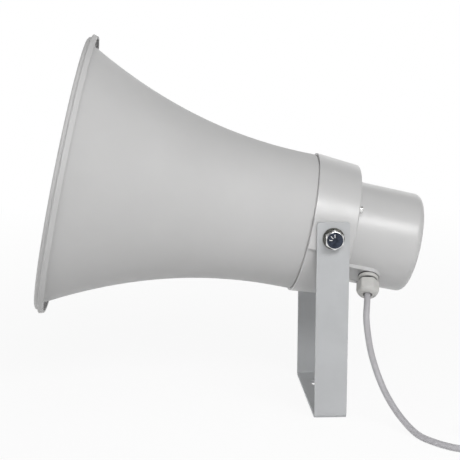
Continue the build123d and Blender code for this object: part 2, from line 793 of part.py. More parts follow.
def pivot_bolts():
    """Two hexagon bolts with chamfered heads; corners point up and down when level."""
    seat = leg_outside + flat_washer_thickness + spring_washer_thickness
    head = Rot(0, 0, 90) * hexagon(bolt_flats, bolt_head)
    face_radius = 0.48 * bolt_flats
    cone = Cone(face_radius + sqrt(3) * bolt_head, face_radius, bolt_head)
    head = head & Pos(0, 0, bolt_head / 2) * cone
    shank = Pos(0, 0, -bolt_length / 2) * Cylinder(bolt_diameter / 2, bolt_length)
    bolt = Pos(0, seat, 0) * Rot(-90, 0, 0) * (head + shank)
    return both_sides(bolt)


def thread_inserts():
    """Brass inserts in the pivot pads: threaded bore, knurl left plain, lead-in chamfer."""
    outer = pad_face - 0.3
    insert = cross_bar(outer - insert_length + 0.4, outer, insert_diameter / 2)
    insert = chamfer(insert.edges().filter_by(GeomType.CIRCLE), 0.5)
    insert -= cross_bar(outer - insert_length, outer + 1, bolt_diameter / 2 + 0.02)
    return both_sides(insert)


def transformer_screws():
    """Two small screws through the strap's feet into the yoke."""
    screw = pan_screw(3.0, 6.0, 2.8, 1.9)
    placed = []
    for y, z in transformer_screw_places():
        placed.append(Pos(-yoke_back + plate_steel, y, z) * Rot(0, 90, 0) * screw)
    return placed


def gasket_ring(front, rear, outside, inside):
    """A flat gasket with the driver screws' holes."""
    return drilled(ring(front, rear, outside, inside), front, rear, driver_screw_hole)


def washer(outer, thickness, seat, inner):
    """A washer on the far side, its inner face on a given y."""
    disc = cross_bar(seat, seat + thickness, outer / 2)
    return disc - cross_bar(seat - 1, seat + thickness + 1, inner / 2)


def spring_washers():
    """Split washers: a ring with a slanted cut."""
    seat = leg_outside + flat_washer_thickness
    thickness = spring_washer_thickness
    split = washer(spring_washer_diameter, thickness, seat, bolt_diameter + 0.2)
    cut = Box(1.0, 3 * thickness, 6)
    split -= Pos(0, seat + thickness / 2, spring_washer_diameter / 2 - 1.5) * Rot(0, 0, 25) * cut
    return both_sides(split)


def gland_body():
    """Flanged body: thread into the cap, flange, and the thread under the dome nut."""
    bore = cable_diameter / 2 + 0.6
    base = gland_face + gasket
    radius = gland_flange_diameter / 2
    body = Pos(0, 0, base) * extrude(Circle(radius), gland_flange_thickness)
    body = chamfer(body.edges().group_by(Axis.Z)[-1], 1.2)
    inner_end = gland_seat - lock_nut_thickness - 1
    top = gland_nut_base + gland_nut_hex_length - 1
    thread = gland_thread_diameter / 2
    body += Pos(0, 0, inner_end) * extrude(Circle(thread - 0.1), base - inner_end)
    body += Pos(0, 0, base) * extrude(Circle(thread - 0.9), top - base)
    return body - Pos(0, 0, inner_end - 1) * extrude(Circle(bore), top - inner_end + 2)


def gland_nut():
    """The dome nut: hexagon below, dome to the cable hole."""
    height = gland_nut_hex_length + gland_nut_dome_length
    hex_part = Rot(0, 0, gland_nut_turn) * hexagon(gland_nut_flats, height)
    corner = gland_nut_flats / 2 / cos(radians(30)) + 0.2
    nose = gland_nose_diameter / 2
    rise = gland_nut_hex_length
    envelope = revolve(
        Plane.XZ * make_face(Wire([
            Line((0, 0), (corner - 0.8, 0)).edge(),
            Line((corner - 0.8, 0), (corner, 0.8)).edge(),
            Line((corner, 0.8), (corner, rise - 1)).edge(),
            ThreePointArc((corner, rise - 1), (corner - 1.7, rise + 2.4), (nose, height)).edge(),
            Line((nose, height), (0, height)).edge(),
            Line((0, height), (0, 0)).edge(),
        ])),
        Axis.Z,
    )
    nut = hex_part & envelope
    inside = gland_thread_diameter / 2 - 0.6
    nut -= Pos(0, 0, -1) * extrude(Circle(inside), gland_nut_hex_length + 2)
    nut -= extrude(Circle(cable_diameter / 2 + 0.25), height + 1)
    return Pos(0, 0, gland_nut_base) * nut


def gland_seal():
    """The rubber sleeve round the cable at the top of the body."""
    low = gland_nut_base + gland_nut_hex_length - 0.95
    high = gland_nut_base + gland_nut_hex_length + 0.95
    seal = Pos(0, 0, low) * extrude(Circle(gland_thread_diameter / 2 - 1.2), high - low)
    return seal - Pos(0, 0, low - 1) * extrude(Circle(cable_diameter / 2), high - low + 2)


def lock_nut():
    """The thin nut that holds the gland from inside the cap."""
    base = gland_seat - lock_nut_thickness
    nut = Pos(0, 0, base) * Rot(0, 0, gland_nut_turn) * hexagon(lock_nut_flats, lock_nut_thickness - 0.05)
    return nut - Pos(0, 0, base - 1) * extrude(Circle(gland_thread_diameter / 2), lock_nut_thickness + 2)


def gland_washer():
    """The sealing washer between the gland's flange and the boss."""
    seal = Pos(0, 0, gland_face) * extrude(Circle(gland_flange_diameter / 2 - 0.6), gasket)
    return seal - Pos(0, 0, gland_face - 1) * extrude(Circle(gland_thread_diameter / 2 + 0.1), gasket + 2)


def cable_pieces():
    """The free cable: run to the floor, coil, tail, and the two stripped cores."""
    exit_place = HORN_PLACE * GLAND_PLACE
    start = (exit_place * Pos(0, 0, gland_nose)).position
    turn_point = (exit_place * Pos(0, 0, gland_nose + exit_run)).position
    bends = []
    add("speaker_cable", pipe([tuple(start), tuple(turn_point), *cable_route], cable_diameter, bends))
    centre_x, centre_y = coil_centre
    low = cable_route[-1][2] - cable_diameter / 2
    middle = low + coil_height / 2
    bundle = RectangleRounded(2 * coil_half_width, coil_height, 2.9)
    ring_section = Plane.XZ * Pos(coil_radius, middle) * bundle
    coil = Pos(centre_x, centre_y, 0) * revolve(ring_section, Axis.Z)
    entry = cable_route[-1]
    coil += pipe([entry, (centre_x, entry[1], entry[2])], cable_diameter - 0.2)
    leave = tail_route[0]
    coil += pipe([(leave[0], centre_y, leave[2]), leave], cable_diameter - 0.2)
    add("cable_coil", coil)
    add("cable_tail", pipe(tail_route, cable_diameter, bends))
    print("cable bend radii", [round(r, 1) for r in bends])
    width = 2 * coil_half_width
    strap = RectangleRounded(width + 2 * tie_thickness, coil_height + 2 * tie_thickness, 3.6)
    strap -= RectangleRounded(width + 0.4, coil_height + 0.4, 3.1)
    band = extrude(Plane.XZ * Pos(coil_radius, middle) * strap, tie_width / 2, both=True)
    add("coil_tie", Pos(centre_x, centre_y, 0) * Rot(0, 0, 110) * band)
    end = Vector(*tail_route[-1])
    before = Vector(*tail_route[-2])
    along = (end - before).normalized()
    across = Vector(-along.Y, along.X, 0)
    cores, tips = [], []
    for side in (-1, 1):
        root = end + across * (side * 1.25)
        bend = root + along * 6
        rest = end + along * core_fan + across * (side * 4.5) - Vector(0, 0, end.Z - core_diameter / 2)
        run = Vector(rest.X - bend.X, rest.Y - bend.Y, 0).normalized()
        finish = rest + run * (core_length - core_fan)
        cores.append(pipe([tuple(root), tuple(bend), tuple(rest), tuple(finish)], core_diameter))
        tips.append(pipe([tuple(finish), tuple(finish + run * bare_length)], conductor_diameter))
    add("cable_cores", cores)
    add("core_tips", tips)


def inner_lead_pieces():
    """The cable inside the gland, and its two cores to the terminals."""
    stop = gland_seat - 16
    terminals = gland_seat - terminals_below
    lead = Pos(0, 0, stop) * extrude(Circle(cable_diameter / 2), gland_nose - stop)
    add("inner_lead", lead, HORN_PLACE * GLAND_PLACE)
    cores = []
    for side in (-1, 1):
        lane, well = side * 1.3, side * terminal_length / 4
        route = [(0, lane, stop), (0, lane, stop - 3), (0, well, stop - 10), (0, well, terminals - 1.4)]
        cores.append(pipe(route, core_diameter))
    add("inner_cores", cores, HORN_PLACE * GLAND_PLACE)


add("bracket", bracket())
add("bell", bell(), HORN_PLACE)
add("rear_housing", rear_housing(), HORN_PLACE)
add("driver_cap", driver_cap(), HORN_PLACE)
add("tone_arm", tone_arm(), HORN_PLACE)
add("reflector", reflector(), HORN_PLACE)
add("reflector_screw", reflector_screw(), HORN_PLACE)
add("throat_plate", throat_plate(), HORN_PLACE)
add("phase_plug", phase_plug(), HORN_PLACE)
add("diaphragm", diaphragm(), HORN_PLACE)
add("surround", surround(), HORN_PLACE)
coil_front = top_plate_front - 1
winding = ring(coil_front, coil_front - 6, former_radius + coil_thickness, former_radius)
add("voice_coil", winding, HORN_PLACE)
add("top_plate", ring(top_plate_front, top_plate_back, plate_radius, gap_radius), HORN_PLACE)
add("magnet", ring(top_plate_back, magnet_back, magnet_radius, gap_radius + 3), HORN_PLACE)
add("yoke", yoke(), HORN_PLACE)
add("transformer_bracket", transformer_bracket(), HORN_PLACE)
add("transformer_core", transformer_core(), HORN_PLACE)
add("transformer_winding", transformer_winding(), HORN_PLACE)
add("terminal_block", terminal_block(), HORN_PLACE * GLAND_PLACE)
add("pivot_bolts", pivot_bolts(), Pos(0, 0, pivot_height))
add("thread_inserts", thread_inserts(), HORN_PLACE)
cap_screw = pan_screw(cap_screw_diameter, cap_screw_length, 3.6, 2.6)
add("cap_screws", axial_screws(cap_screw, flange_rear, cap_screw_circle, cap_screw_angles), HORN_PLACE)
driver_screw = pan_screw(driver_screw_diameter, driver_screw_length, 4.3, 3.2)
screws = axial_screws(driver_screw, throat_flange_back, driver_screw_circle, driver_screw_angles)
add("driver_screws", screws, HORN_PLACE)
add("transformer_screws", transformer_screws(), HORN_PLACE)
bell_seal = gasket_ring(bell_back_station, bulkhead_front, sleeve_radius - 2, hub_hole_radius + 2)
add("bell_gasket", bell_seal, HORN_PLACE)
driver_seal = gasket_ring(bulkhead_back, driver_front, throat_plate_radius, spigot_radius)
add("driver_gasket", driver_seal, HORN_PLACE)
cap_seal = ring(ledge_station, flange_front, flange_radius, cap_radius + 1.5)
for screw_angle in cap_screw_angles:
    hole = cap_screw_diameter / 2 + fit
    cap_seal -= stud(ledge_station + 1, flange_front - 1, hole, cap_screw_circle, screw_angle)
add("cap_gasket", cap_seal, HORN_PLACE)
flat = washer(flat_washer_diameter, flat_washer_thickness, leg_outside, bolt_diameter + 0.5)
add("flat_washers", both_sides(flat), HORN_PLACE)
add("spring_washers", spring_washers(), HORN_PLACE)
add("gland_body", gland_body(), HORN_PLACE * GLAND_PLACE)
add("gland_nut", gland_nut(), HORN_PLACE * GLAND_PLACE)
add("gland_seal", gland_seal(), HORN_PLACE * GLAND_PLACE)
add("gland_washer", gland_washer(), HORN_PLACE * GLAND_PLACE)
add("lock_nut", lock_nut(), HORN_PLACE * GLAND_PLACE)
inner_lead_pieces()
cable_pieces()

os.makedirs("parts", exist_ok=True)
for name, shape in pieces.items():
    export_step(shape, f"parts/{name}.step")
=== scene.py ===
"""Looks for a folded horn loudspeaker on a U-bracket: shells, fasteners, gland and cable."""

import json
from types import SimpleNamespace

import bmesh
import bpy
import numpy as np
from bpy.props import FloatProperty, FloatVectorProperty, IntProperty, PointerProperty
from bpy.types import Operator, Panel, PropertyGroup
from mathutils import Matrix


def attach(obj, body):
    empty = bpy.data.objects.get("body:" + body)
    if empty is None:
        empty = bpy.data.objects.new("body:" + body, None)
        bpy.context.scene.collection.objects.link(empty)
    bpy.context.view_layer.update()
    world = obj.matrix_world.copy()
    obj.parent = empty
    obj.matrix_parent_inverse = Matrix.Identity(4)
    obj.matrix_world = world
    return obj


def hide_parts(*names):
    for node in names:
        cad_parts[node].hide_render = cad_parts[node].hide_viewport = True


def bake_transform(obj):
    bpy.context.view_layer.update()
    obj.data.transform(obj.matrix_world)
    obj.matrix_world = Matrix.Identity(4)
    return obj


bl_info = {
    "name": "Horn Loudspeaker",
    "version": (1, 0, 0),
    "blender": (4, 5, 0),
    "location": "3D View > Sidebar > Horn",
    "description": "Makes the moulded shells, fasteners, gland, cable and stage of a horn loudspeaker",
    "category": "Object",
}

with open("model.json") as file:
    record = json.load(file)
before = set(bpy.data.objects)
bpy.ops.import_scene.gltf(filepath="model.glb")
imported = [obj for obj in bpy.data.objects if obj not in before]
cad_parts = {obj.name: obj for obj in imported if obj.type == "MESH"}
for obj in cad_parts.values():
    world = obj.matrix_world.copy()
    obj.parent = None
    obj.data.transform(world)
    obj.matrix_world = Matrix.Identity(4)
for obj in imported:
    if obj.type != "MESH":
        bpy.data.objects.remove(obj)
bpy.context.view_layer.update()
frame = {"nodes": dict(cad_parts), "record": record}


def size(name, description, default):
    """A length that a user can change, in metres."""
    return FloatProperty(
        name=name, description=description, default=default, min=0.0, precision=5,
        subtype="DISTANCE", unit="LENGTH",
    )


def station(name, description, default):
    """A distance ahead of the pivot along the horn's axis, in metres; behind it is negative."""
    return FloatProperty(
        name=name, description=description, default=default, precision=5,
        subtype="DISTANCE", unit="LENGTH",
    )


def angle(name, description, default):
    """An angle that a user can change; the default is given in degrees."""
    return FloatProperty(
        name=name, description=description, default=float(np.radians(default)), subtype="ANGLE",
        unit="ROTATION",
    )


def watts(name, description, default):
    """The power of a lamp."""
    return FloatProperty(name=name, description=description, default=default, min=0.0, unit="POWER")


def colour(name, description, default):
    """A linear colour that a user can change."""
    return FloatVectorProperty(
        name=name, description=description, default=default, size=3, min=0.0, max=1.0,
        subtype="COLOR",
    )


class HornSizes(PropertyGroup):
    """Sizes of the moulded horn, its driver cap and its folded inside."""

    pivot_height: size("Pivot height", "Height of the tilt line above the base", 0.1703)
    tilt: angle("Tilt", "The horn's axis above level", 11.8)
    mouth_diameter: size("Mouth diameter", "Across the outside of the rim", 0.262)
    mouth_station: station("Mouth station", "Front of the rim ahead of the pivot", 0.2549)
    neck_radius: size("Neck radius", "Outside of the bell at its small end", 0.0656)
    flare_start: station("Flare start", "Where the bell begins to widen", 0.030)
    flare_exponent: FloatProperty(
        name="Flare exponent", description="Power by which the bell widens", default=2.07,
    )
    bell_wall: size("Bell wall", "Thickness of the bell", 0.0028)
    rim_depth: size("Rim depth", "From the rim's front to the rear edge of its skirt", 0.0094)
    rim_wall: size("Rim wall", "Thickness of the rim's skirt", 0.0024)
    rim_bead: size("Rim bead", "Radius of the rim's round front edge", 0.0032)
    rim_channel: size("Rim channel", "Widest part of the open channel behind the rim", 0.0071)
    rim_web: size("Rim web", "From the rim's front to the channel's bottom", 0.0044)
    rim_step_station: size("Rim step station", "From the rim's front to its skirt's step", 0.0041)
    rim_step: size("Rim step", "The skirt stands out this far from the front bead", 0.0033)
    skirt_draft: size("Skirt draft", "Fall of the skirt's radius to its rear edge", 0.0017)
    shoulder_gap: size("Shoulder gap", "Open groove between the collar and the bell's shoulder", 0.0008)
    bell_back: station("Bell back", "Rear face of the bell's back wall", 0.0115)
    back_corner: size("Back corner", "Inner corner radius at the bell's back", 0.008)
    sleeve_step: size("Sleeve step", "The bell's sleeve below its neck", 0.0008)
    collar_front: station("Collar front", "Front edge of the collar", 0.0205)
    collar_rear: station("Collar rear", "Rear edge of the collar", -0.0213)
    collar_step: size("Collar step", "Collar above the bell's neck", 0.0019)
    collar_draft: size("Collar draft", "Fall of the collar's radius to the rear", 0.0037)
    collar_edge: size("Collar edge", "Rounding of the collar's rear edge", 0.0025)
    pad_rise: size("Pad rise", "Pivot pad above the collar", 0.0032)
    pad_below: size("Pad below", "Pivot pad's reach below the pivot", 0.014)
    pad_above: size("Pad above", "Pivot pad's reach above the pivot", 0.0155)
    pad_rear: station("Pad rear", "Rear edge of the pivot pads", -0.014)
    cap_radius: size("Cap radius", "Driver cap at its front", 0.0488)
    cap_draft: size("Cap draft", "Fall of the cap's radius to the rear", 0.0009)
    cap_front: station("Cap flange", "Rear face of the driver cap's flange", -0.0207)
    cap_rear: station("Cap rear", "Rear face of the driver cap", -0.088)
    cap_corner: size("Cap corner", "Rounding of the cap's rear edge", 0.007)
    cap_wall: size("Cap wall", "Thickness of the cap", 0.0025)
    cap_screw_circle: size("Cap screw circle", "Radius on which the cap screws lie", 0.0563)
    reflector_radius: size("Reflector radius", "Radius of the reflector's round nose", 0.0375)
    reflector_rear: station("Reflector rear", "Open rear end of the reflector", 0.048)
    reflector_rear_radius: size("Reflector rear radius", "Radius of the reflector's open end", 0.045)
    tone_arm_end: station("Tone arm end", "Front end of the central tube", 0.150)
    throat_radius: size("Throat radius", "Bore of the central tube at the driver", 0.0095)
    hub_wall: size("Hub wall", "Round the throat, where bell and collar close on it", 0.0058)
    cap_mouth: station("Cap mouth", "Front face of the driver cap", -0.0177)
    cap_inset: size("Cap inset", "The cap's flange inside the collar's rear edge", 0.0041)
    collar_wall: size("Collar wall", "Thickness of the collar at its rear", 0.0033)
    bulkhead_depth: size("Bulkhead depth", "The collar's cross wall behind its front edge", 0.010)
    bulkhead: size("Bulkhead", "Thickness of the collar's cross wall", 0.003)
    seat_depth: size("Seat depth", "How far the cap's seat stands in from the collar's wall", 0.0046)
    seat_rear: station("Seat rear", "Rear face of the cap's seat", -0.0167)
    seat_front: station("Seat front", "Where the cap's seat begins to slope to the wall", -0.0127)
    seat_slope: size("Seat slope", "Length of the seat's slope", 0.0046)
    reflector_wall: size("Reflector wall", "Thickness of the reflector", 0.0025)
    reflector_sink: size("Reflector sink", "Radius of the countersink at the nose", 0.0052)
    reflector_hole: size("Reflector hole", "Radius of the screw hole at the nose", 0.0028)
    reflector_boss: size("Reflector boss", "Radius of the flat seat behind the nose", 0.007)
    segments: IntProperty(name="Segments", description="Steps round a turned piece", default=240)


class HardwareSizes(PropertyGroup):
    """Sizes of the bracket, the fasteners and the cable gland."""

    strip_width: size("Strip width", "Width of the bracket's strip", 0.030)
    strip_thickness: size("Strip thickness", "Thickness of the bracket's strip", 0.003)
    bend_radius: size("Bend radius", "Outside radius of the bracket's bends", 0.0045)
    strip_corner: size("Strip corner", "Rounding at the ends of the legs", 0.002)
    leg_above_pivot: size("Leg above pivot", "Leg's end above the pivot", 0.015)
    leg_outside: size("Leg outside", "Outer face of each leg from the middle", 0.07209)
    base_hole: size("Base hole", "Diameter of the holes in the base", 0.0085)
    slot_centre: size("Slot centre", "From the base's middle to the middle of an outer slot", 0.0325)
    slot_radius: size("Slot radius", "Radius of an outer slot's round ends", 0.0049)
    slot_stretch: size("Slot stretch", "Half the straight part of an outer slot", 0.0035)
    hole_frame: size("Hole frame", "Half the square that is cut from the grid round a hole", 0.0085)
    pivot_hole: size("Pivot hole", "Diameter of the hole in each leg", 0.011)
    bolt_flats: size("Bolt flats", "Across the flats of the pivot bolts", 0.016)
    bolt_head: size("Bolt head", "Height of the pivot bolts' heads", 0.0064)
    flat_washer: size("Flat washer", "Diameter of the flat washers", 0.020)
    flat_washer_thickness: size("Flat washer thickness", "Thickness of the flat washers", 0.0016)
    spring_washer: size("Spring washer", "Diameter of the split washers", 0.0181)
    spring_washer_thickness: size("Spring washer thickness", "Thickness of the split washers", 0.0022)
    bolt_length: size("Bolt length", "Shank below the head", 0.0138)
    bolt_diameter: size("Bolt diameter", "Shank of the pivot bolts", 0.010)
    gland_angle: angle("Gland angle", "Gland's direction from straight down, toward the viewer", 46.0)
    gland_station: station("Gland station", "The gland's axis behind the pivot", -0.047)
    gland_face: size("Gland face", "Seat of the gland from the horn's axis", 0.0498)
    boss_half_width: size("Boss half width", "Half of the gland boss's width", 0.0114)
    boss_sink: size("Boss sink", "How far the boss reaches into the cap below its face", 0.010)
    lip_rise: size("Lip rise", "Boss's lip above its face", 0.0011)
    lip_width: size("Lip width", "Thickness of the boss's lip", 0.0011)
    gland_flange: size("Gland flange", "Diameter of the gland's flange", 0.0196)
    gland_flange_height: size("Gland flange height", "Thickness of the gland's flange", 0.0034)
    gland_washer: size("Gland washer", "Thickness of the washer under the flange", 0.001)
    gland_neck: size("Gland neck", "Length of thread between flange and nut", 0.0024)
    gland_thread: size("Gland thread", "Diameter over the gland's thread", 0.0152)
    nut_flats: size("Nut flats", "Across the flats of the gland's nut", 0.019)
    nut_turn: angle("Nut turn", "How far the nut's flats stand from square", 18.0)
    nut_hex: size("Nut hexagon", "Length of the nut's hexagon", 0.0082)
    nut_dome: size("Nut dome", "Length of the nut's dome", 0.0058)
    nut_lead: size("Nut lead", "How far down the hexagon the dome begins", 0.0022)
    nut_nose: size("Nut nose", "Diameter of the nut's nose", 0.0106)
    nut_hole: size("Nut hole", "Diameter of the hole in the nut's nose", 0.0082)
    cable_diameter: size("Cable diameter", "Outside of the cable's jacket", 0.006)


class Finishes(PropertyGroup):
    """Colours of the parts and of the stage."""

    moulded: colour("Moulding", "Light grey moulded plastic", (0.552, 0.550, 0.548))
    painted: colour("Paint", "Cool light-grey powder coat on the bracket", (0.50, 0.51, 0.52))
    nylon: colour("Nylon", "Gland and nut", (0.585, 0.58, 0.56))
    sheath: colour("Sheath", "Cable jacket", (0.455, 0.447, 0.465))
    brown_core: colour("Brown core", "One core's insulation", (0.16, 0.07, 0.035))
    blue_core: colour("Blue core", "The other core's insulation", (0.05, 0.13, 0.30))
    natural: colour("Strap", "Natural nylon", (0.72, 0.72, 0.68))
    steel: colour("Steel", "Bright plated fasteners", (0.86, 0.86, 0.85))
    # Painted shade: the washers' very dark colour stands for the shade round the bolt heads.
    washer: colour("Washers", "Darker plating of the pivot washers", (0.13, 0.13, 0.12))
    plated: colour("Plated steel", "Dull plated inner parts", (0.60, 0.60, 0.57))
    cast: colour("Casting", "Cast zinc", (0.50, 0.51, 0.52))
    copper: colour("Copper", "Bare wire and windings", (0.72, 0.36, 0.20))
    brass: colour("Brass", "Threaded inserts", (0.66, 0.49, 0.22))
    rubber: colour("Rubber", "Gaskets and seals", (0.025, 0.025, 0.027))
    resin: colour("Resin cloth", "Diaphragm and former", (0.35, 0.19, 0.07))
    ferrite: colour("Ferrite", "Magnet", (0.045, 0.045, 0.05))
    laminations: colour("Laminations", "Transformer core", (0.10, 0.09, 0.085))
    tape: colour("Tape", "Transformer winding's wrap", (0.65, 0.48, 0.08))
    floor: colour("Floor", "Stage floor", (0.9, 0.9, 0.9))


class StageSettings(PropertyGroup):
    """Camera and light."""

    azimuth: angle("Azimuth", "Camera round the object from straight on the near side", -3.298)
    elevation: angle("Elevation", "Camera above level", 9.676)
    roll: angle("Roll", "Camera turned about its own axis", 0.143)
    distance: size("Distance", "Camera from the point it looks at", 1.15292)
    focal: FloatProperty(name="Focal length", description="In picture widths", default=2.60103)
    key_power: watts("Key", "Strip light above the near side", 10.7)
    top_power: watts("Top", "Wide light overhead", 3.5)
    mouth_power: watts("Mouth side", "Wide light on the mouth's side", 7.0)
    back_power: watts("Back", "Wide light behind", 6.0)
    sky: FloatProperty(name="Sky", description="Strength of the even light from all round", default=0.6)
    floor_half: size("Floor half", "Half the side of the floor's square", 4.0)
    floor_glow: FloatProperty(
        name="Floor glow", description="Share of plain white that the floor shows near the object",
        default=0.91, subtype="FACTOR", min=0.0, max=1.0,
    )


LOOK_AT = (-0.090008, 0.0, 0.166632)
SKY_TOP_SHARE = 0.22
LAMP_TARGET = (-0.05, 0.0, 0.17)
LAMPS = {
    "key": ((0.25, -1.05, 0.9), (1.1, 0.3)),
    "top": ((-0.05, -0.2, 1.7), (1.6, 1.6)),
    "mouth": ((-1.8, -0.6, 0.7), (1.2, 1.2)),
    "back": ((0.5, 1.9, 1.0), (1.6, 1.2)),
}


def horn_matrix(sizes):
    """Turns the horn's own frame, with its axis along X through the pivot, into the world's."""
    return Matrix.Translation((0, 0, sizes.pivot_height)) @ Matrix.Rotation(sizes.tilt, 4, "Y")


def gland_matrix(sizes, hardware):
    """The gland's own frame, with its axis along Z pointing out of the cap, in the world."""
    turn = Matrix.Rotation(np.pi - hardware.gland_angle, 4, "X")
    return horn_matrix(sizes) @ Matrix.Translation((-hardware.gland_station, 0, 0)) @ turn


def moved(points, matrix):
    """Points of any grid, taken through a 4 by 4 matrix."""
    m = np.array(matrix)
    return points @ m[:3, :3].T + m[:3, 3]


def wheel(radius, along, angles):
    """Grid of a turned surface about X: (-along, -radius cos angle, radius sin angle)."""
    radius, along = np.broadcast_arrays(radius, along)
    if radius.ndim == 1:
        radius, along = radius[:, None], along[:, None]
    x = -along + 0 * angles
    return np.stack([x, -radius * np.cos(angles), radius * np.sin(angles)], axis=-1)


def upright(radius, height, angles):
    """Grid of a turned surface about Z: (radius cos angle, radius sin angle, height)."""
    radius, height = np.broadcast_arrays(radius, height)
    if radius.ndim == 1:
        radius, height = radius[:, None], height[:, None]
    return np.stack([radius * np.cos(angles), radius * np.sin(angles), height + 0 * angles], axis=-1)


def round_angles(count):
    """Evenly spaced angles once round, the last one left out because it is the first again."""
    return np.linspace(0, 2 * np.pi, count, endpoint=False)


def rounded(corners, closed=False, steps=6):
    """Straight runs between corners (a, b, radius), each corner replaced by its arc.

    An arc of radius r at a corner that turns by an angle starts r tan(angle / 2) before it. One
    more point a little before and after each arc keeps the shading of the runs flat.
    """
    points = np.array([c[:2] for c in corners], float)
    radii = np.array([c[2] if len(c) > 2 else 0.0 for c in corners], float)
    out = []
    count = len(points)
    for i, (point, radius) in enumerate(zip(points, radii)):
        if radius <= 0 or (not closed and i in (0, count - 1)):
            out.append(point[None])
            continue
        back = points[i - 1] - point
        ahead = points[(i + 1) % count] - point
        back_length, ahead_length = np.linalg.norm(back), np.linalg.norm(ahead)
        back, ahead = back / back_length, ahead / ahead_length
        half = 0.5 * np.arccos(np.clip(back @ ahead, -1, 1))
        cut = min(radius / np.tan(half), 0.48 * min(back_length, ahead_length))
        true_radius = cut * np.tan(half)
        middle = point + (back + ahead) / np.linalg.norm(back + ahead) * true_radius / np.sin(half)
        first, last = point + back * cut - middle, point + ahead * cut - middle
        sweep = np.arctan2(first[0] * last[1] - first[1] * last[0], first @ last)
        turn = np.linspace(0, sweep, steps + 1)
        arc = np.stack([
            first[0] * np.cos(turn) - first[1] * np.sin(turn),
            first[0] * np.sin(turn) + first[1] * np.cos(turn),
        ], axis=-1) + middle
        out += [point + back * cut * 1.08 + 0 * arc[:1], arc, point + ahead * cut * 1.08 + 0 * arc[:1]]
    return np.concatenate(out)


def grid_faces(rows, columns, wrap_rows, wrap_columns):
    """Four-cornered faces between neighbours of a grid of points, by index."""
    i = np.arange(rows if wrap_rows else rows - 1)
    j = np.arange(columns if wrap_columns else columns - 1)
    i, j = np.meshgrid(i, j, indexing="ij")
    up, across = (i + 1) % rows, (j + 1) % columns
    here, above = i * columns, up * columns
    return np.stack([here + j, here + across, above + across, above + j], axis=-1).reshape(-1, 4)


def grid_piece(points, wrap_rows=False, wrap_columns=False):
    """Points and faces of one grid, as a piece for make_mesh."""
    rows, columns = points.shape[:2]
    return points.reshape(-1, 3), grid_faces(rows, columns, wrap_rows, wrap_columns)


def make_mesh(name, pieces, sharp=35.0, merge=1e-6):
    """One object from several (points, faces) pieces: doubles merged, normals out, edges kept sharp."""
    points = np.concatenate([p for p, _ in pieces])
    offsets = np.cumsum([0] + [len(p) for p, _ in pieces[:-1]])
    faces = np.concatenate([f + o for (_, f), o in zip(pieces, offsets)])
    mesh = bpy.data.meshes.new(name)
    mesh.vertices.add(len(points))
    mesh.vertices.foreach_set("co", points.astype(np.float32).ravel())
    mesh.loops.add(faces.size)
    mesh.loops.foreach_set("vertex_index", faces.astype(np.int32).ravel())
    mesh.polygons.add(len(faces))
    mesh.polygons.foreach_set("loop_start", np.arange(0, faces.size, 4, dtype=np.int32))
    mesh.update(calc_edges=True)
    work = bmesh.new()
    work.from_mesh(mesh)
    bmesh.ops.remove_doubles(work, verts=work.verts, dist=merge)
    bmesh.ops.dissolve_degenerate(work, edges=work.edges, dist=merge / 10)
    bmesh.ops.recalc_face_normals(work, faces=work.faces)
    work.to_mesh(mesh)
    work.free()
    mesh.shade_smooth()
    mesh.set_sharp_from_angle(angle=np.radians(sharp))
    piece = bpy.data.objects.new(name, mesh)
    bpy.context.scene.collection.objects.link(piece)
    return piece


def finish_piece(piece, material, body, slot, *nodes):
    """Gives a piece its material and its body, and hides the nodes that it stands for. The slot is not
    used.
    """
    piece.data.materials.clear()
    piece.data.materials.append(material)
    if body:
        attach(piece, body)
    if nodes:
        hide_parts(*nodes)
    return piece


def new_material(name, base, roughness, metallic=0.0, specular=0.5, coat=0.0):
    """A material whose plain values sit on the shader's own sockets, and its node helpers."""
    material = bpy.data.materials.new(name)
    material.use_nodes = True
    tree = material.node_tree
    shader = tree.nodes["Principled BSDF"]
    shader.inputs["Base Color"].default_value = (*base, 1)
    shader.inputs["Roughness"].default_value = roughness
    shader.inputs["Metallic"].default_value = metallic
    shader.inputs["Specular IOR Level"].default_value = specular
    shader.inputs["Coat Weight"].default_value = coat
    material.diffuse_color = (*base, 1)
    return SimpleNamespace(material=material, tree=tree, shader=shader, base=base)


def add_node(look, kind, **values):
    """A node of the look's tree, with its settings and unlinked inputs set by name."""
    node = look.tree.nodes.new(kind)
    for key, value in values.items():
        if key in node.inputs:
            node.inputs[key].default_value = value
        else:
            setattr(node, key, value)
    return node


def object_space(look, scale=(1, 1, 1)):
    """Object coordinates in metres, stretched."""
    place = add_node(look, "ShaderNodeTexCoord")
    mapping = add_node(look, "ShaderNodeMapping")
    mapping.inputs["Scale"].default_value = scale
    look.tree.links.new(place.outputs["Object"], mapping.inputs["Vector"])
    return mapping.outputs["Vector"]


def noise(look, vector, scale, detail=2.0, roughness=0.5):
    """A noise texture of so many waves a metre."""
    node = add_node(look, "ShaderNodeTexNoise", Scale=scale, Detail=detail, Roughness=roughness)
    look.tree.links.new(vector, node.inputs["Vector"])
    return node.outputs["Fac"]


def spread(look, source, low, high, from_low=0.3, from_high=0.7):
    """Maps a pattern's range onto another one."""
    node = look.tree.nodes.new("ShaderNodeMapRange")
    for index, value in ((1, from_low), (2, from_high), (3, low), (4, high)):
        node.inputs[index].default_value = value
    look.tree.links.new(source, node.inputs[0])
    return node.outputs[0]


def tinted(look, source, dark, light):
    """The base colour between two shares of itself, by a pattern."""
    node = look.tree.nodes.new("ShaderNodeMix")
    node.data_type = "RGBA"
    node.inputs[6].default_value = (*[c * dark for c in look.base], 1)
    node.inputs[7].default_value = (*[min(c * light, 1.0) for c in look.base], 1)
    look.tree.links.new(source, node.inputs[0])
    look.tree.links.new(node.outputs[2], look.shader.inputs["Base Color"])
    return node.outputs[2]


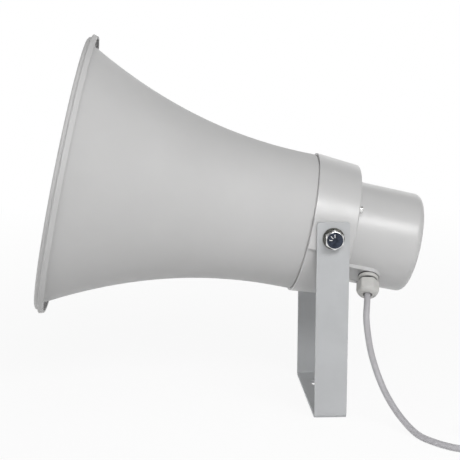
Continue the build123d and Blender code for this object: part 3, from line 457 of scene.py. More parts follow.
def bumped(look, source, strength, distance, before=None):
    """Bump from a pattern, on top of an earlier bump."""
    node = add_node(look, "ShaderNodeBump", Strength=strength, Distance=distance)
    look.tree.links.new(source, node.inputs["Height"])
    if before is not None:
        look.tree.links.new(before, node.inputs["Normal"])
    look.tree.links.new(node.outputs["Normal"], look.shader.inputs["Normal"])
    return node.outputs["Normal"]


def moulded_plastic(name, base, roughness, specular):
    """Satin moulded plastic: faint cloudy tone, fine orange peel and a few dull patches."""
    look = new_material(name, base, roughness, specular=specular)
    space = object_space(look)
    cloud = noise(look, space, 9.0, detail=4.0, roughness=0.6)
    tinted(look, spread(look, cloud, 0.0, 1.0), 0.965, 1.02)
    patch = noise(look, space, 38.0, detail=5.0, roughness=0.65)
    uneven = spread(look, patch, roughness * 0.92, roughness * 1.12)
    look.tree.links.new(uneven, look.shader.inputs["Roughness"])
    peel = bumped(look, noise(look, space, 520.0, detail=2.0), 0.12, 0.0002)
    bumped(look, noise(look, space, 90.0, detail=1.0), 0.06, 0.0008, peel)
    return look.material


def powder_coat(name, base):
    """Textured powder coat: small rounded grains, slight tone change and dull sheen."""
    look = new_material(name, base, 0.46, specular=0.45)
    space = object_space(look)
    cloud = noise(look, space, 26.0, detail=4.0, roughness=0.6)
    tinted(look, spread(look, cloud, 0.0, 1.0), 0.95, 1.03)
    grain = noise(look, space, 900.0, detail=3.0, roughness=0.55)
    look.tree.links.new(spread(look, grain, 0.40, 0.56), look.shader.inputs["Roughness"])
    fine = bumped(look, grain, 0.35, 0.0002)
    bumped(look, noise(look, space, 260.0, detail=1.0), 0.2, 0.0003, fine)
    return look.material


def bright_steel(name, base, roughness):
    """Plated steel: metallic, with fine scratches and slightly uneven polish."""
    look = new_material(name, base, roughness, metallic=1.0)
    space = object_space(look, (1, 1, 8))
    cloud = noise(look, object_space(look), 300.0, detail=4.0)
    tinted(look, spread(look, cloud, 0.0, 1.0), 0.86, 1.04)
    uneven = spread(look, cloud, roughness * 0.75, roughness * 1.5)
    look.tree.links.new(uneven, look.shader.inputs["Roughness"])
    bumped(look, noise(look, space, 1400.0, detail=3.0), 0.12, 0.0001)
    return look.material


def steel_with_painted_reflection(name, base, roughness, tint, plane, rise):
    """Plated steel whose end faces are darker, a painted dark reflection: the tint shows in a thin
    layer of |y|.

    The layer starts at the plane of the faces and ends at their raised marks, which stay bright.
    """
    material = bright_steel(name, base, roughness)
    look = SimpleNamespace(tree=material.node_tree, shader=material.node_tree.nodes["Principled BSDF"])
    split = add_node(look, "ShaderNodeSeparateXYZ")
    away = add_node(look, "ShaderNodeMath", operation="ABSOLUTE")
    look.tree.links.new(object_space(look), split.inputs[0])
    look.tree.links.new(split.outputs["Y"], away.inputs[0])
    above = spread(look, away.outputs[0], 0.0, 1.0, plane - 0.0001, plane - 0.00005)
    below = spread(look, away.outputs[0], 1.0, 0.0, plane + 0.6 * rise, plane + 0.9 * rise)
    both = add_node(look, "ShaderNodeMath", operation="MULTIPLY")
    look.tree.links.new(above, both.inputs[0])
    look.tree.links.new(below, both.inputs[1])
    # The end faces' tint is a painted dark reflection, mottled by a noise.
    painted_reflection = SimpleNamespace(tree=look.tree, shader=look.shader, base=tint)
    plain = look.shader.inputs["Base Color"].links[0].from_socket
    reflection_noise = noise(look, object_space(look), 420.0, detail=3.0)
    mottled_reflection = tinted(painted_reflection, spread(look, reflection_noise, 0.0, 1.0, 0.42, 0.62), 0.75, 1.5)
    mix = add_node(look, "ShaderNodeMix", data_type="RGBA")
    look.tree.links.new(mottled_reflection, mix.inputs[7])
    look.tree.links.new(both.outputs[0], mix.inputs[0])
    look.tree.links.new(plain, mix.inputs[6])
    look.tree.links.new(mix.outputs[2], look.shader.inputs["Base Color"])
    return material


def matt_moulding(name, base, roughness, grain, depth):
    """Unpolished moulded or coated surface: fine grain and slight change of tone."""
    look = new_material(name, base, roughness, specular=0.4)
    space = object_space(look)
    cloud = noise(look, space, 120.0, detail=3.0)
    tinted(look, spread(look, cloud, 0.0, 1.0), 0.93, 1.04)
    fine = noise(look, space, grain, detail=2.0)
    uneven = spread(look, fine, roughness * 0.85, roughness * 1.15)
    look.tree.links.new(uneven, look.shader.inputs["Roughness"])
    bumped(look, fine, depth, 0.00015)
    return look.material


def cable_sheath(name, base):
    """Soft jacket: slight waviness along the cable and a fine extruded grain, on its own map."""
    look = new_material(name, base, 0.42, specular=0.45)
    place = add_node(look, "ShaderNodeTexCoord")
    mapping = add_node(look, "ShaderNodeMapping")
    mapping.inputs["Scale"].default_value = (60, 2, 1)
    look.tree.links.new(place.outputs["UV"], mapping.inputs["Vector"])
    wave = noise(look, mapping.outputs["Vector"], 3.0, detail=3.0)
    tinted(look, spread(look, wave, 0.0, 1.0), 0.95, 1.03)
    fine = bumped(look, wave, 0.15, 0.0003)
    bumped(look, noise(look, object_space(look), 1500.0), 0.12, 0.0001, fine)
    return look.material


# Faces of the pivot bolts' heads from the middle plane, and how far their ticks stand out of them.
BOLT_FACES = 0.08229
TICK_RISE = 0.0002
LOOKS = {
    "matt_abs": (moulded_plastic, "moulded", 0.55, 0.2),
    "polished_abs": (moulded_plastic, "moulded", 0.36, 0.95),
    "powder_paint": (powder_coat, "painted"),
    "gland_nylon": (matt_moulding, "nylon", 0.42, 500.0, 0.15),
    "cable_jacket": (cable_sheath, "sheath"),
    "inner_jacket": (matt_moulding, "sheath", 0.45, 900.0, 0.1),
    "brown_insulation": (matt_moulding, "brown_core", 0.42, 900.0, 0.1),
    "blue_insulation": (matt_moulding, "blue_core", 0.42, 900.0, 0.1),
    "strap_nylon": (matt_moulding, "natural", 0.40, 700.0, 0.1),
    "bright_zinc": (bright_steel, "steel", 0.22),
    # The bolts' dark blue-grey face tint is a painted dark reflection.
    "bolt_zinc": (steel_with_painted_reflection, "steel", 0.18, (0.040, 0.047, 0.064), BOLT_FACES, TICK_RISE),
    # The washers' dark colour is painted shade.
    "washer_zinc": (bright_steel, "washer", 0.26),
    "dull_zinc": (bright_steel, "plated", 0.34),
    "zinc_casting": (bright_steel, "cast", 0.42),
    "bare_copper": (bright_steel, "copper", 0.28),
    "turned_brass": (bright_steel, "brass", 0.28),
    "black_seal": (matt_moulding, "rubber", 0.60, 700.0, 0.2),
    "resin_cloth": (matt_moulding, "resin", 0.50, 1200.0, 0.3),
    "fired_ferrite": (matt_moulding, "ferrite", 0.62, 600.0, 0.3),
    "core_steel": (matt_moulding, "laminations", 0.48, 500.0, 0.3),
    "yellow_wrap": (matt_moulding, "tape", 0.45, 500.0, 0.1),
}
SLOT_LOOKS = {
    "grey_abs": "matt_abs", "grey_nylon": "gland_nylon", "grey_paint": "powder_paint",
    "grey_sheath": "inner_jacket", "brass": "turned_brass", "bright_steel": "bright_zinc",
    "plated_steel": "dull_zinc", "cast_zinc": "zinc_casting", "copper": "bare_copper",
    "black_rubber": "black_seal", "phenolic": "resin_cloth", "ferrite": "fired_ferrite",
    "laminations": "core_steel", "yellow_tape": "yellow_wrap", "white_nylon": "strap_nylon",
    "core_insulation": "brown_insulation",
}


def finish_of(name):
    """One of the finishes by name, made the first time that a piece asks for it."""
    if name not in bpy.data.materials:
        maker, tint, *values = LOOKS[name]
        maker(name, tuple(getattr(bpy.context.scene.horn_finishes, tint)), *values)
    return bpy.data.materials[name]


class HORN_OT_stage(Operator):
    """Sets the camera, the lights, the sky and the pale floor"""

    bl_idname = "horn.stage"
    bl_label = "Set Stage"

    def execute(self, context):
        stage = context.scene.horn_stage
        colours = context.scene.horn_finishes
        context.scene.view_settings.view_transform = "Standard"
        self.place_camera(context.scene, stage)
        for name, (spot, across) in LAMPS.items():
            self.lamp(name + "_lamp", spot, across, getattr(stage, name + "_power"))
        self.sky(context.scene, stage.sky)
        half = stage.floor_half
        corners = np.array([[[-half, -half, 0], [half, -half, 0]], [[-half, half, 0], [half, half, 0]]])
        floor = make_mesh("stage_floor", [grid_piece(corners)])
        floor.data.materials.append(self.floor_material(tuple(colours.floor), stage.floor_glow))
        return {"FINISHED"}

    def place_camera(self, scene, stage):
        """Camera on a circle round LOOK_AT: back, right and up follow from its three angles."""
        a, e = stage.azimuth, stage.elevation
        back = np.array([np.sin(a) * np.cos(e), -np.cos(a) * np.cos(e), np.sin(e)])
        right = np.array([np.cos(a), np.sin(a), 0.0])
        up = np.cross(back, right)
        c, s = np.cos(stage.roll), np.sin(stage.roll)
        right, up = c * right + s * up, c * up - s * right
        place = np.eye(4)
        place[:3, 0], place[:3, 1], place[:3, 2] = right, up, back
        place[:3, 3] = np.array(LOOK_AT) + stage.distance * back
        data = bpy.data.cameras.new("camera")
        data.sensor_width = 36.0
        data.lens = stage.focal * data.sensor_width
        camera = bpy.data.objects.new("camera", data)
        camera.matrix_world = Matrix(place.tolist())
        scene.collection.objects.link(camera)
        scene.camera = camera

    def lamp(self, name, spot, across, power):
        """A rectangular soft light that faces the object, level along its width."""
        data = bpy.data.lights.new(name, "AREA")
        data.shape = "RECTANGLE"
        data.size, data.size_y = across
        data.energy = power
        back = np.array(spot) - LAMP_TARGET
        back /= np.linalg.norm(back)
        right = np.cross((0, 0, 1), back)
        right /= np.linalg.norm(right)
        place = np.eye(4)
        place[:3, 0], place[:3, 1], place[:3, 2] = right, np.cross(back, right), back
        place[:3, 3] = spot
        lamp = bpy.data.objects.new(name, data)
        lamp.matrix_world = Matrix(place.tolist())
        bpy.context.scene.collection.objects.link(lamp)

    def sky(self, scene, strength):
        """White to the camera; to the rest it is even light that fades upward from the horizon.

        Reflected and transmitted rays meet it at full strength, others at the given strength, and
        both are multiplied by a share that falls with the height of the ray's direction.
        """
        world = bpy.data.worlds.new("sky")
        scene.world = world
        world.use_nodes = True
        tree = world.node_tree
        background = tree.nodes["Background"]
        background.inputs["Color"].default_value = (1, 1, 1, 1)
        look = SimpleNamespace(tree=tree)
        direction = add_node(look, "ShaderNodeTexCoord")
        height = add_node(look, "ShaderNodeSeparateXYZ")
        tree.links.new(direction.outputs["Generated"], height.inputs[0])
        fade = spread(look, height.outputs["Z"], 1.0, SKY_TOP_SHARE, 0.05, 0.45)
        camera, bounced = self.seen(tree)
        level = self.blend(tree, bounced, strength, 1.0)
        faded = add_node(look, "ShaderNodeMath", operation="MULTIPLY")
        tree.links.new(level.outputs[0], faded.inputs[0])
        tree.links.new(fade, faded.inputs[1])
        whole = self.blend(tree, camera, 0.0, 1.0)
        tree.links.new(faded.outputs[0], whole.inputs[2])
        tree.links.new(whole.outputs[0], background.inputs["Strength"])

    def blend(self, tree, factor, low, high):
        """A number between two others."""
        mix = tree.nodes.new("ShaderNodeMix")
        mix.data_type = "FLOAT"
        mix.inputs[2].default_value = low
        mix.inputs[3].default_value = high
        tree.links.new(factor, mix.inputs[0])
        return mix

    def seen(self, tree):
        """Whether a ray is the camera's, and whether a surface reflected it or let it through."""
        path = tree.nodes.new("ShaderNodeLightPath")
        either = tree.nodes.new("ShaderNodeMath")
        either.operation = "MAXIMUM"
        tree.links.new(path.outputs["Is Glossy Ray"], either.inputs[0])
        tree.links.new(path.outputs["Is Transmission Ray"], either.inputs[1])
        return path.outputs["Is Camera Ray"], either.outputs[0]

    def floor_material(self, base, glow_share):
        """A pale floor that shows its soft shadow near the object and plain white further out."""
        look = new_material("pale_floor", base, 0.9, specular=0.2)
        space = object_space(look)
        tinted(look, spread(look, noise(look, space, 3.0), 0.0, 1.0), 0.99, 1.01)
        reach = add_node(look, "ShaderNodeVectorMath", operation="LENGTH")
        look.tree.links.new(space, reach.inputs[0])
        share = spread(look, reach.outputs["Value"], glow_share, 1.0, 0.35, 1.3)
        camera, bounced = self.seen(look.tree)
        seen = add_node(look, "ShaderNodeMath", operation="MAXIMUM")
        look.tree.links.new(camera, seen.inputs[0])
        look.tree.links.new(bounced, seen.inputs[1])
        both = add_node(look, "ShaderNodeMath", operation="MULTIPLY")
        look.tree.links.new(seen.outputs[0], both.inputs[0])
        look.tree.links.new(share, both.inputs[1])
        glow = add_node(look, "ShaderNodeEmission")
        mix = add_node(look, "ShaderNodeMixShader")
        look.tree.links.new(both.outputs[0], mix.inputs[0])
        look.tree.links.new(look.shader.outputs[0], mix.inputs[1])
        look.tree.links.new(glow.outputs[0], mix.inputs[2])
        look.tree.links.new(mix.outputs[0], look.tree.nodes["Material Output"].inputs["Surface"])
        return look.material


EXIT_RUN = 0.010
# Points of the cable's route from below the gland down to the floor and on toward the coil.
CABLE_ROUTE = [
    (0.0326, -0.0653, 0.0940), (0.0340, -0.0684, 0.0800), (0.0361, -0.0703, 0.0660),
    (0.0395, -0.0732, 0.0530), (0.0434, -0.0785, 0.0405), (0.0482, -0.0875, 0.0285),
    (0.0550, -0.1015, 0.0165), (0.0640, -0.1180, 0.0065), (0.0707, -0.1340, 0.0030),
    (0.0800, -0.1490, 0.0030), (0.0910, -0.1615, 0.0030), (0.1030, -0.1695, 0.0032),
    (0.1170, -0.1720, 0.0038), (0.1280, -0.1720, 0.0038),
]
TAIL_ROUTE = [
    (0.1830, -0.1270, 0.0220), (0.1855, -0.1120, 0.0218), (0.1870, -0.0990, 0.0165),
    (0.1875, -0.0850, 0.0095), (0.1855, -0.0710, 0.0044), (0.1820, -0.0580, 0.0031),
    (0.1780, -0.0460, 0.0030),
]
COIL_CENTRE = (0.152, -0.136)
COIL_LANES = {"inner": 0.0302, "outer": 0.0364}
COIL_LEVELS = (0.0038, 0.0098, 0.0158)
TURN_POINTS = 16


def coil_points():
    """Control points of six turns, two lanes by three levels, wound upward and inward in steps.

    Radius and height are joined straight between knots given in quarter turns from the entry, and
    the points lie on the circle of that radius, one sixteenth of a turn apart. Each change of lane
    or level falls in its own quarter, so a turn never meets the one before it.
    """
    near, far = COIL_LANES["inner"], COIL_LANES["outer"]
    low, middle, high = COIL_LEVELS
    knots = [
        (0, far, low), (3, far, low), (4, near, low), (6, near, low), (7, near, middle),
        (9, near, middle), (10, far, middle), (16, far, middle), (17, far, high),
        (19, far, high), (20, near, high), (24.6, near, high),
    ]
    quarter, radius, height = np.array(knots).T
    at = np.arange(0.25, 24.6, 4.0 / TURN_POINTS)
    turn = -np.pi / 2 + at * np.pi / 2
    r, z = np.interp(at, quarter, radius), np.interp(at, quarter, height)
    return np.stack([COIL_CENTRE[0] + r * np.cos(turn), COIL_CENTRE[1] + r * np.sin(turn), z], axis=-1)


def nurbs_line(name, points, resolution=12):
    """Points read from a smooth open NURBS spline with the given control points."""
    curve = bpy.data.curves.new(name, "CURVE")
    curve.dimensions = "3D"
    curve.resolution_u = resolution
    spline = curve.splines.new("NURBS")
    spline.points.add(len(points) - 1)
    spline.points.foreach_set("co", np.column_stack([points, np.ones(len(points))]).ravel())
    spline.order_u = 3
    spline.use_endpoint_u = True
    carrier = bpy.data.objects.new(name, curve)
    bpy.context.scene.collection.objects.link(carrier)
    bpy.context.view_layer.update()
    shown = carrier.evaluated_get(bpy.context.evaluated_depsgraph_get())
    mesh = bpy.data.meshes.new_from_object(shown)
    line = np.empty(len(mesh.vertices) * 3, np.float32)
    mesh.vertices.foreach_get("co", line)
    bpy.data.meshes.remove(mesh)
    bpy.data.objects.remove(carrier)
    bpy.data.curves.remove(curve)
    line = line.reshape(-1, 3).astype(float)
    keep = np.r_[True, np.linalg.norm(np.diff(line, axis=0), axis=1) > 1e-6]
    return line[keep]


def carried_frames(line):
    """Two directions square to a line at each of its points, turning no more than the line does."""
    ahead = np.gradient(line, axis=0)
    ahead /= np.linalg.norm(ahead, axis=1, keepdims=True)
    side = np.cross(ahead[0], (0.3, 0.2, 0.9))
    side /= np.linalg.norm(side)
    sides = np.empty_like(line)
    for index, direction in enumerate(ahead):
        side = side - direction * (side @ direction)
        side = side / np.linalg.norm(side)
        sides[index] = side
    return ahead, sides, np.cross(ahead, sides)


def tube(line, radius, around=18, ends=0.25, twist=0.0, offset=0.0, phase=0.0):
    """Circle carried along a line, its ends rounded off by a share of the radius.

    A point is line + r (cos angle side + sin angle up), where side and up are square to the line.
    With an offset the circle's centre itself runs round the line, once each twist metres.
    """
    ahead, side, up = carried_frames(line)
    length = np.r_[0, np.cumsum(np.linalg.norm(np.diff(line, axis=0), axis=1))]
    if offset:
        spin = 2 * np.pi * length / twist + phase
        line = line + offset * (np.cos(spin)[:, None] * side + np.sin(spin)[:, None] * up)
        ahead, side, up = carried_frames(line)
    grow = np.array([0.0, 0.6, 0.92, 1.0])
    back = np.array([0.0, 0.0, 0.35, 1.0]) * ends * radius
    radii = np.r_[grow * radius, np.full(len(line) - 2, radius), grow[::-1] * radius]
    index = np.r_[np.zeros(4, int), np.arange(1, len(line) - 1), np.full(4, len(line) - 1)]
    shift = np.r_[back, np.zeros(len(line) - 2), -back[::-1]]
    centre = line[index] + ahead[index] * shift[:, None]
    angles = round_angles(around)
    turn = angles[None, :, None]
    ring = np.cos(turn) * side[index][:, None] + np.sin(turn) * up[index][:, None]
    return centre[:, None] + radii[:, None, None] * ring


class HORN_OT_cable(Operator):
    """Makes the cable from the gland to its coil and bare ends"""

    bl_idname = "horn.cable"
    bl_label = "Make Cable"

    def execute(self, context):
        sizes, hardware = context.scene.horn_sizes, context.scene.horn_hardware
        place = gland_matrix(sizes, hardware)
        nose = (
            hardware.gland_face + hardware.gland_washer + hardware.gland_flange_height
            + hardware.gland_neck + hardware.nut_hex + hardware.nut_dome
        )
        straight = moved(np.array([[0, 0, nose], [0, 0, nose + EXIT_RUN]]), place)
        entry = np.array([[0.140, -0.1720, 0.0038], [0.1505, -0.1721, 0.0038]])
        route = np.vstack([straight, CABLE_ROUTE, entry, coil_points(), TAIL_ROUTE])
        line = nurbs_line("cable_line", route)
        radius = hardware.cable_diameter / 2
        piece = make_mesh("cable", [grid_piece(tube(line, radius), wrap_columns=True)])
        self.add_map(piece, line)
        nodes = ("speaker_cable", "cable_coil", "cable_tail")
        finish_piece(piece, finish_of("cable_jacket"), None, "grey_sheath", *nodes)
        cores, tips = self.bare_ends(line)
        tie = self.tie()
        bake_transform(piece)
        return {"FINISHED"}

    def add_map(self, piece, line):
        """UV of a tube: metres along the line, and share of a turn round it."""
        mesh = piece.data
        points = np.empty(len(mesh.vertices) * 3, np.float32)
        mesh.vertices.foreach_get("co", points)
        points = points.reshape(-1, 3)
        along = np.r_[0, np.cumsum(np.linalg.norm(np.diff(line, axis=0), axis=1))]
        nearest = np.concatenate([
            np.argmin(((chunk[:, None] - line[None]) ** 2).sum(-1), axis=1)
            for chunk in np.array_split(points, 40)
        ])
        _, side, up = carried_frames(line)
        out = points - line[nearest]
        turn = np.arctan2((out * up[nearest]).sum(1), (out * side[nearest]).sum(1)) / (2 * np.pi)
        corner = np.empty(len(mesh.loops), np.int32)
        mesh.loops.foreach_get("vertex_index", corner)
        layer = mesh.uv_layers.new(name="along")
        spots = np.column_stack([along[nearest], np.abs(turn)])[corner]
        layer.data.foreach_set("uv", spots.astype(np.float32).ravel())

    def bare_ends(self, line):
        """The two cores that fan out on the floor, each with seven twisted copper wires."""
        end = line[-1]
        ahead = line[-1] - line[-4]
        ahead[2] = 0
        ahead /= np.linalg.norm(ahead)
        across = np.array([-ahead[1], ahead[0], 0])
        looks = {-1: "brown_insulation", 1: "blue_insulation"}
        cores, tips = [], []
        for side, look in looks.items():
            floor = np.array([0, 0, 0.0011 - end[2]])
            control = [
                end - ahead * 0.004 + across * side * 0.00125,
                end + ahead * 0.004 + across * side * 0.00135,
                end + ahead * 0.010 + across * side * 0.0024 + 0.6 * floor,
                end + ahead * 0.017 + across * side * 0.0045 + floor,
                end + ahead * 0.0215 + across * side * 0.0062 + floor,
                end + ahead * 0.0255 + across * side * 0.0081 + floor,
            ]
            core = nurbs_line("core_line", np.array(control), 10)
            name = "core_brown" if side < 0 else "core_blue"
            piece = make_mesh(name, [grid_piece(tube(core, 0.0011, 14), wrap_columns=True)])
            cores.append(finish_piece(piece, finish_of(look), "bracket", "core_insulation"))
            run = core[-1] - core[-2]
            run /= np.linalg.norm(run)
            steps = np.linspace(-0.001, 0.0068, 28)[:, None]
            straight = core[-1] + run * steps - np.array([0, 0, 0.0004]) * np.clip(steps / 0.007, 0, 1)
            wires = [grid_piece(tube(straight, 0.0002, 8), wrap_columns=True)]
            for phase in round_angles(6):
                wire = tube(straight, 0.0002, 8, twist=0.011, offset=0.00039, phase=phase)
                wires.append(grid_piece(wire, wrap_columns=True))
            tip = make_mesh(name + "_wires", wires, merge=1e-8)
            tips.append(finish_piece(tip, finish_of("bare_copper"), "bracket", "copper"))
        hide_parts("cable_cores")
        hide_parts("core_tips")
        return cores, tips

    def tie(self):
        """A nylon strap round the turns: its loop is a rounded rectangle, its head a small block."""
        middle = (COIL_LANES["inner"] + COIL_LANES["outer"]) / 2
        half, low, high = 0.0066, 0.0010, 0.0192
        loop = rounded([
            (middle - half, low, 0.003), (middle + half, low, 0.003),
            (middle + half, high, 0.003), (middle - half, high, 0.003),
        ], closed=True)
        centre = loop.mean(axis=0)
        out = (loop - centre) / np.linalg.norm(loop - centre, axis=1, keepdims=True)
        section = np.array([
            (0.0, -0.0018), (0.0, 0.0018), (0.0007, 0.0020), (0.0009, 0.0), (0.0007, -0.0020),
        ])
        grid = np.empty((len(loop), len(section), 3))
        flat = loop[:, None] + out[:, None] * section[None, :, :1]
        turn = np.radians(110)
        along = np.array([-np.sin(turn), np.cos(turn), 0])
        radial = np.array([np.cos(turn), np.sin(turn), 0])
        grid[:] = np.array([*COIL_CENTRE, 0]) + flat[..., :1] * radial + section[None, :, 1:] * along
        grid[..., 2] += flat[..., 1]
        head_place = np.array([*COIL_CENTRE, 0.0125]) + radial * (middle + half + 0.0016)
        box = rounded([
            (-0.0017, -0.0026, 0.0005), (0.0017, -0.0026, 0.0005),
            (0.0017, 0.0026, 0.0005), (-0.0017, 0.0026, 0.0005),
        ], closed=True, steps=3)
        levels = np.array([
            (0.0, -0.0024), (0.85, -0.0024), (1.0, -0.0019),
            (1.0, 0.0019), (0.85, 0.0024), (0.0, 0.0024),
        ])
        head = (
            head_place + box[None, :, :1] * levels[:, None, :1] * radial
            + box[None, :, 1:] * levels[:, None, :1] * along
            + levels[:, None, 1:] * np.array([0, 0, 1.0])
        )
        piece = make_mesh("coil_strap", [grid_piece(grid, True, True), grid_piece(head, False, True)])
        return finish_piece(piece, finish_of("strap_nylon"), "bracket", "white_nylon", "coil_tie")


def flare(sizes, end):
    """Outside of the bell: neck + (end - neck) times the share of the way to a power."""
    share = np.linspace(0, 1, 56) ** 0.8
    end_radius = sizes.mouth_diameter / 2 + sizes.rim_step - sizes.rim_wall - sizes.rim_channel
    along = sizes.flare_start + (end - sizes.flare_start) * share
    radius = sizes.neck_radius + (end_radius - sizes.neck_radius) * share ** sizes.flare_exponent
    slope = np.gradient(radius, along)
    slope[0] = 0
    return along, radius, slope


class HORN_OT_bell(Operator):
    """Makes the flared bell with its bead, skirt and open channel"""

    bl_idname = "horn.bell"
    bl_label = "Make Bell"

    def execute(self, context):
        sizes = context.scene.horn_sizes
        profile = self.profile(sizes)
        grid = wheel(profile[:, 1], profile[:, 0], round_angles(sizes.segments))
        grid = moved(grid, horn_matrix(sizes))
        piece = make_mesh("bell_shell", [grid_piece(grid, True, True)], sharp=50)
        finish_piece(piece, finish_of("matt_abs"), "horn", "grey_abs", "bell")
        return {"FINISHED"}

    def profile(self, sizes):
        """Closed outline (station, radius): sleeve, flare by its power law, channel, bead, inside."""
        along, radius, slope = flare(sizes, sizes.mouth_station - sizes.rim_web)
        tilt, wall = np.arctan(slope), sizes.bell_wall
        inside = np.column_stack([along + wall * np.sin(tilt), radius - wall * np.cos(tilt)])
        sleeve = sizes.neck_radius - sizes.sleeve_step
        shoulder = sizes.collar_front + sizes.shoulder_gap
        floor = sizes.bell_back + sizes.bell_wall
        hub = sizes.throat_radius + sizes.hub_wall
        back = rounded([
            (floor, hub), (sizes.bell_back, hub, 0.0003), (sizes.bell_back, sleeve, 0.0015),
            (shoulder, sleeve, 0.0002), (shoulder, sizes.neck_radius, 0.0004),
            (sizes.flare_start, sizes.neck_radius),
        ])
        rim = self.rim(sizes, (along[-1], radius[-1]), inside[-1])
        bottom = rounded([
            (sizes.flare_start, sizes.neck_radius - sizes.bell_wall),
            (floor, sizes.neck_radius - sizes.bell_wall, sizes.back_corner), (floor, hub),
        ], steps=10)
        return np.vstack([
            back[:-1], np.column_stack([along, radius])[:-1], rim, inside[::-1][1:], bottom[1:-1],
        ])

    def rim(self, sizes, flare_end, lip):
        """Channel, drafted skirt and the step down to the bead, then two tangent arcs to the lip.

        The second arc leaves the bead square to the axis, so its radius is (a a + b b) / 2 a, where
        a and b are the ways from the bead's crown back and in to the lip.
        """
        wall, bead = sizes.rim_wall, sizes.rim_bead
        front, mouth = sizes.mouth_station, sizes.mouth_diameter / 2
        step, skirt = front - sizes.rim_step_station, mouth + sizes.rim_step
        rear, rear_radius = front - sizes.rim_depth, skirt - sizes.skirt_draft
        outside = rounded([
            flare_end, (front - sizes.rim_web, mouth - wall, 0.0015),
            (step - wall, skirt - wall, 0.0012), (rear, rear_radius - wall, 0.0007),
            (rear, rear_radius, 0.0005), (step, skirt, 0.0014), (step, mouth, 0.0005),
            (front - bead, mouth),
        ], steps=8)
        quarter = np.linspace(np.pi / 2, 0, 14)[1:]
        middle = (front - bead, mouth - bead)
        crown = np.column_stack([np.cos(quarter), np.sin(quarter)]) * bead + middle
        back, inward = front - lip[0], mouth - bead - lip[1]
        arc = (back ** 2 + inward ** 2) / (2 * back)
        sweep = np.linspace(0, np.arcsin(inward / arc), 12)[1:]
        turn_in = np.column_stack([np.cos(sweep), -np.sin(sweep)]) * arc + (front - arc, mouth - bead)
        return np.vstack([outside, crown, turn_in])


class HORN_OT_folded_horn(Operator):
    """Makes the reflector bowl inside the bell"""

    bl_idname = "horn.folded_horn"
    bl_label = "Make Folded Horn"

    def execute(self, context):
        sizes = context.scene.horn_sizes
        bowl = self.bowl(sizes)
        grid = wheel(bowl[:, 1], bowl[:, 0], round_angles(sizes.segments))
        grid = moved(grid, horn_matrix(sizes))
        piece = make_mesh("reflector_bowl", [grid_piece(grid, True, True)], sharp=50)
        finish_piece(piece, finish_of("matt_abs"), "horn", "grey_abs", "reflector")
        return {"FINISHED"}

    def bowl(self, sizes):
        """Closed outline: tapered wall, nose as an arc of the nose radius, countersunk hole."""
        radius, end = sizes.reflector_radius, sizes.tone_arm_end
        wall, sink, hole = sizes.reflector_wall, sizes.reflector_sink, sizes.reflector_hole
        boss = sizes.reflector_boss
        turn = np.linspace(0, np.arccos(sink / radius), 26)
        nose = np.column_stack([end + radius * np.sin(turn), radius * np.cos(turn)])
        inner = radius - wall
        back = np.linspace(np.arccos(boss / inner), 0, 22)
        inside = np.column_stack([end + inner * np.sin(back), inner * np.cos(back)])
        rim = nose[-1, 0]
        return np.vstack([
            rounded([
                (sizes.reflector_rear, sizes.reflector_rear_radius - wall),
                (sizes.reflector_rear, sizes.reflector_rear_radius, 0.0008), (end, radius),
            ])[1:-1],
            nose,
            [[rim - sink + hole, hole], [end + 0.0001, hole], [end + 0.0001, boss]],
            inside,
            [[sizes.reflector_rear + 0.0006, sizes.reflector_rear_radius - wall]],
        ])


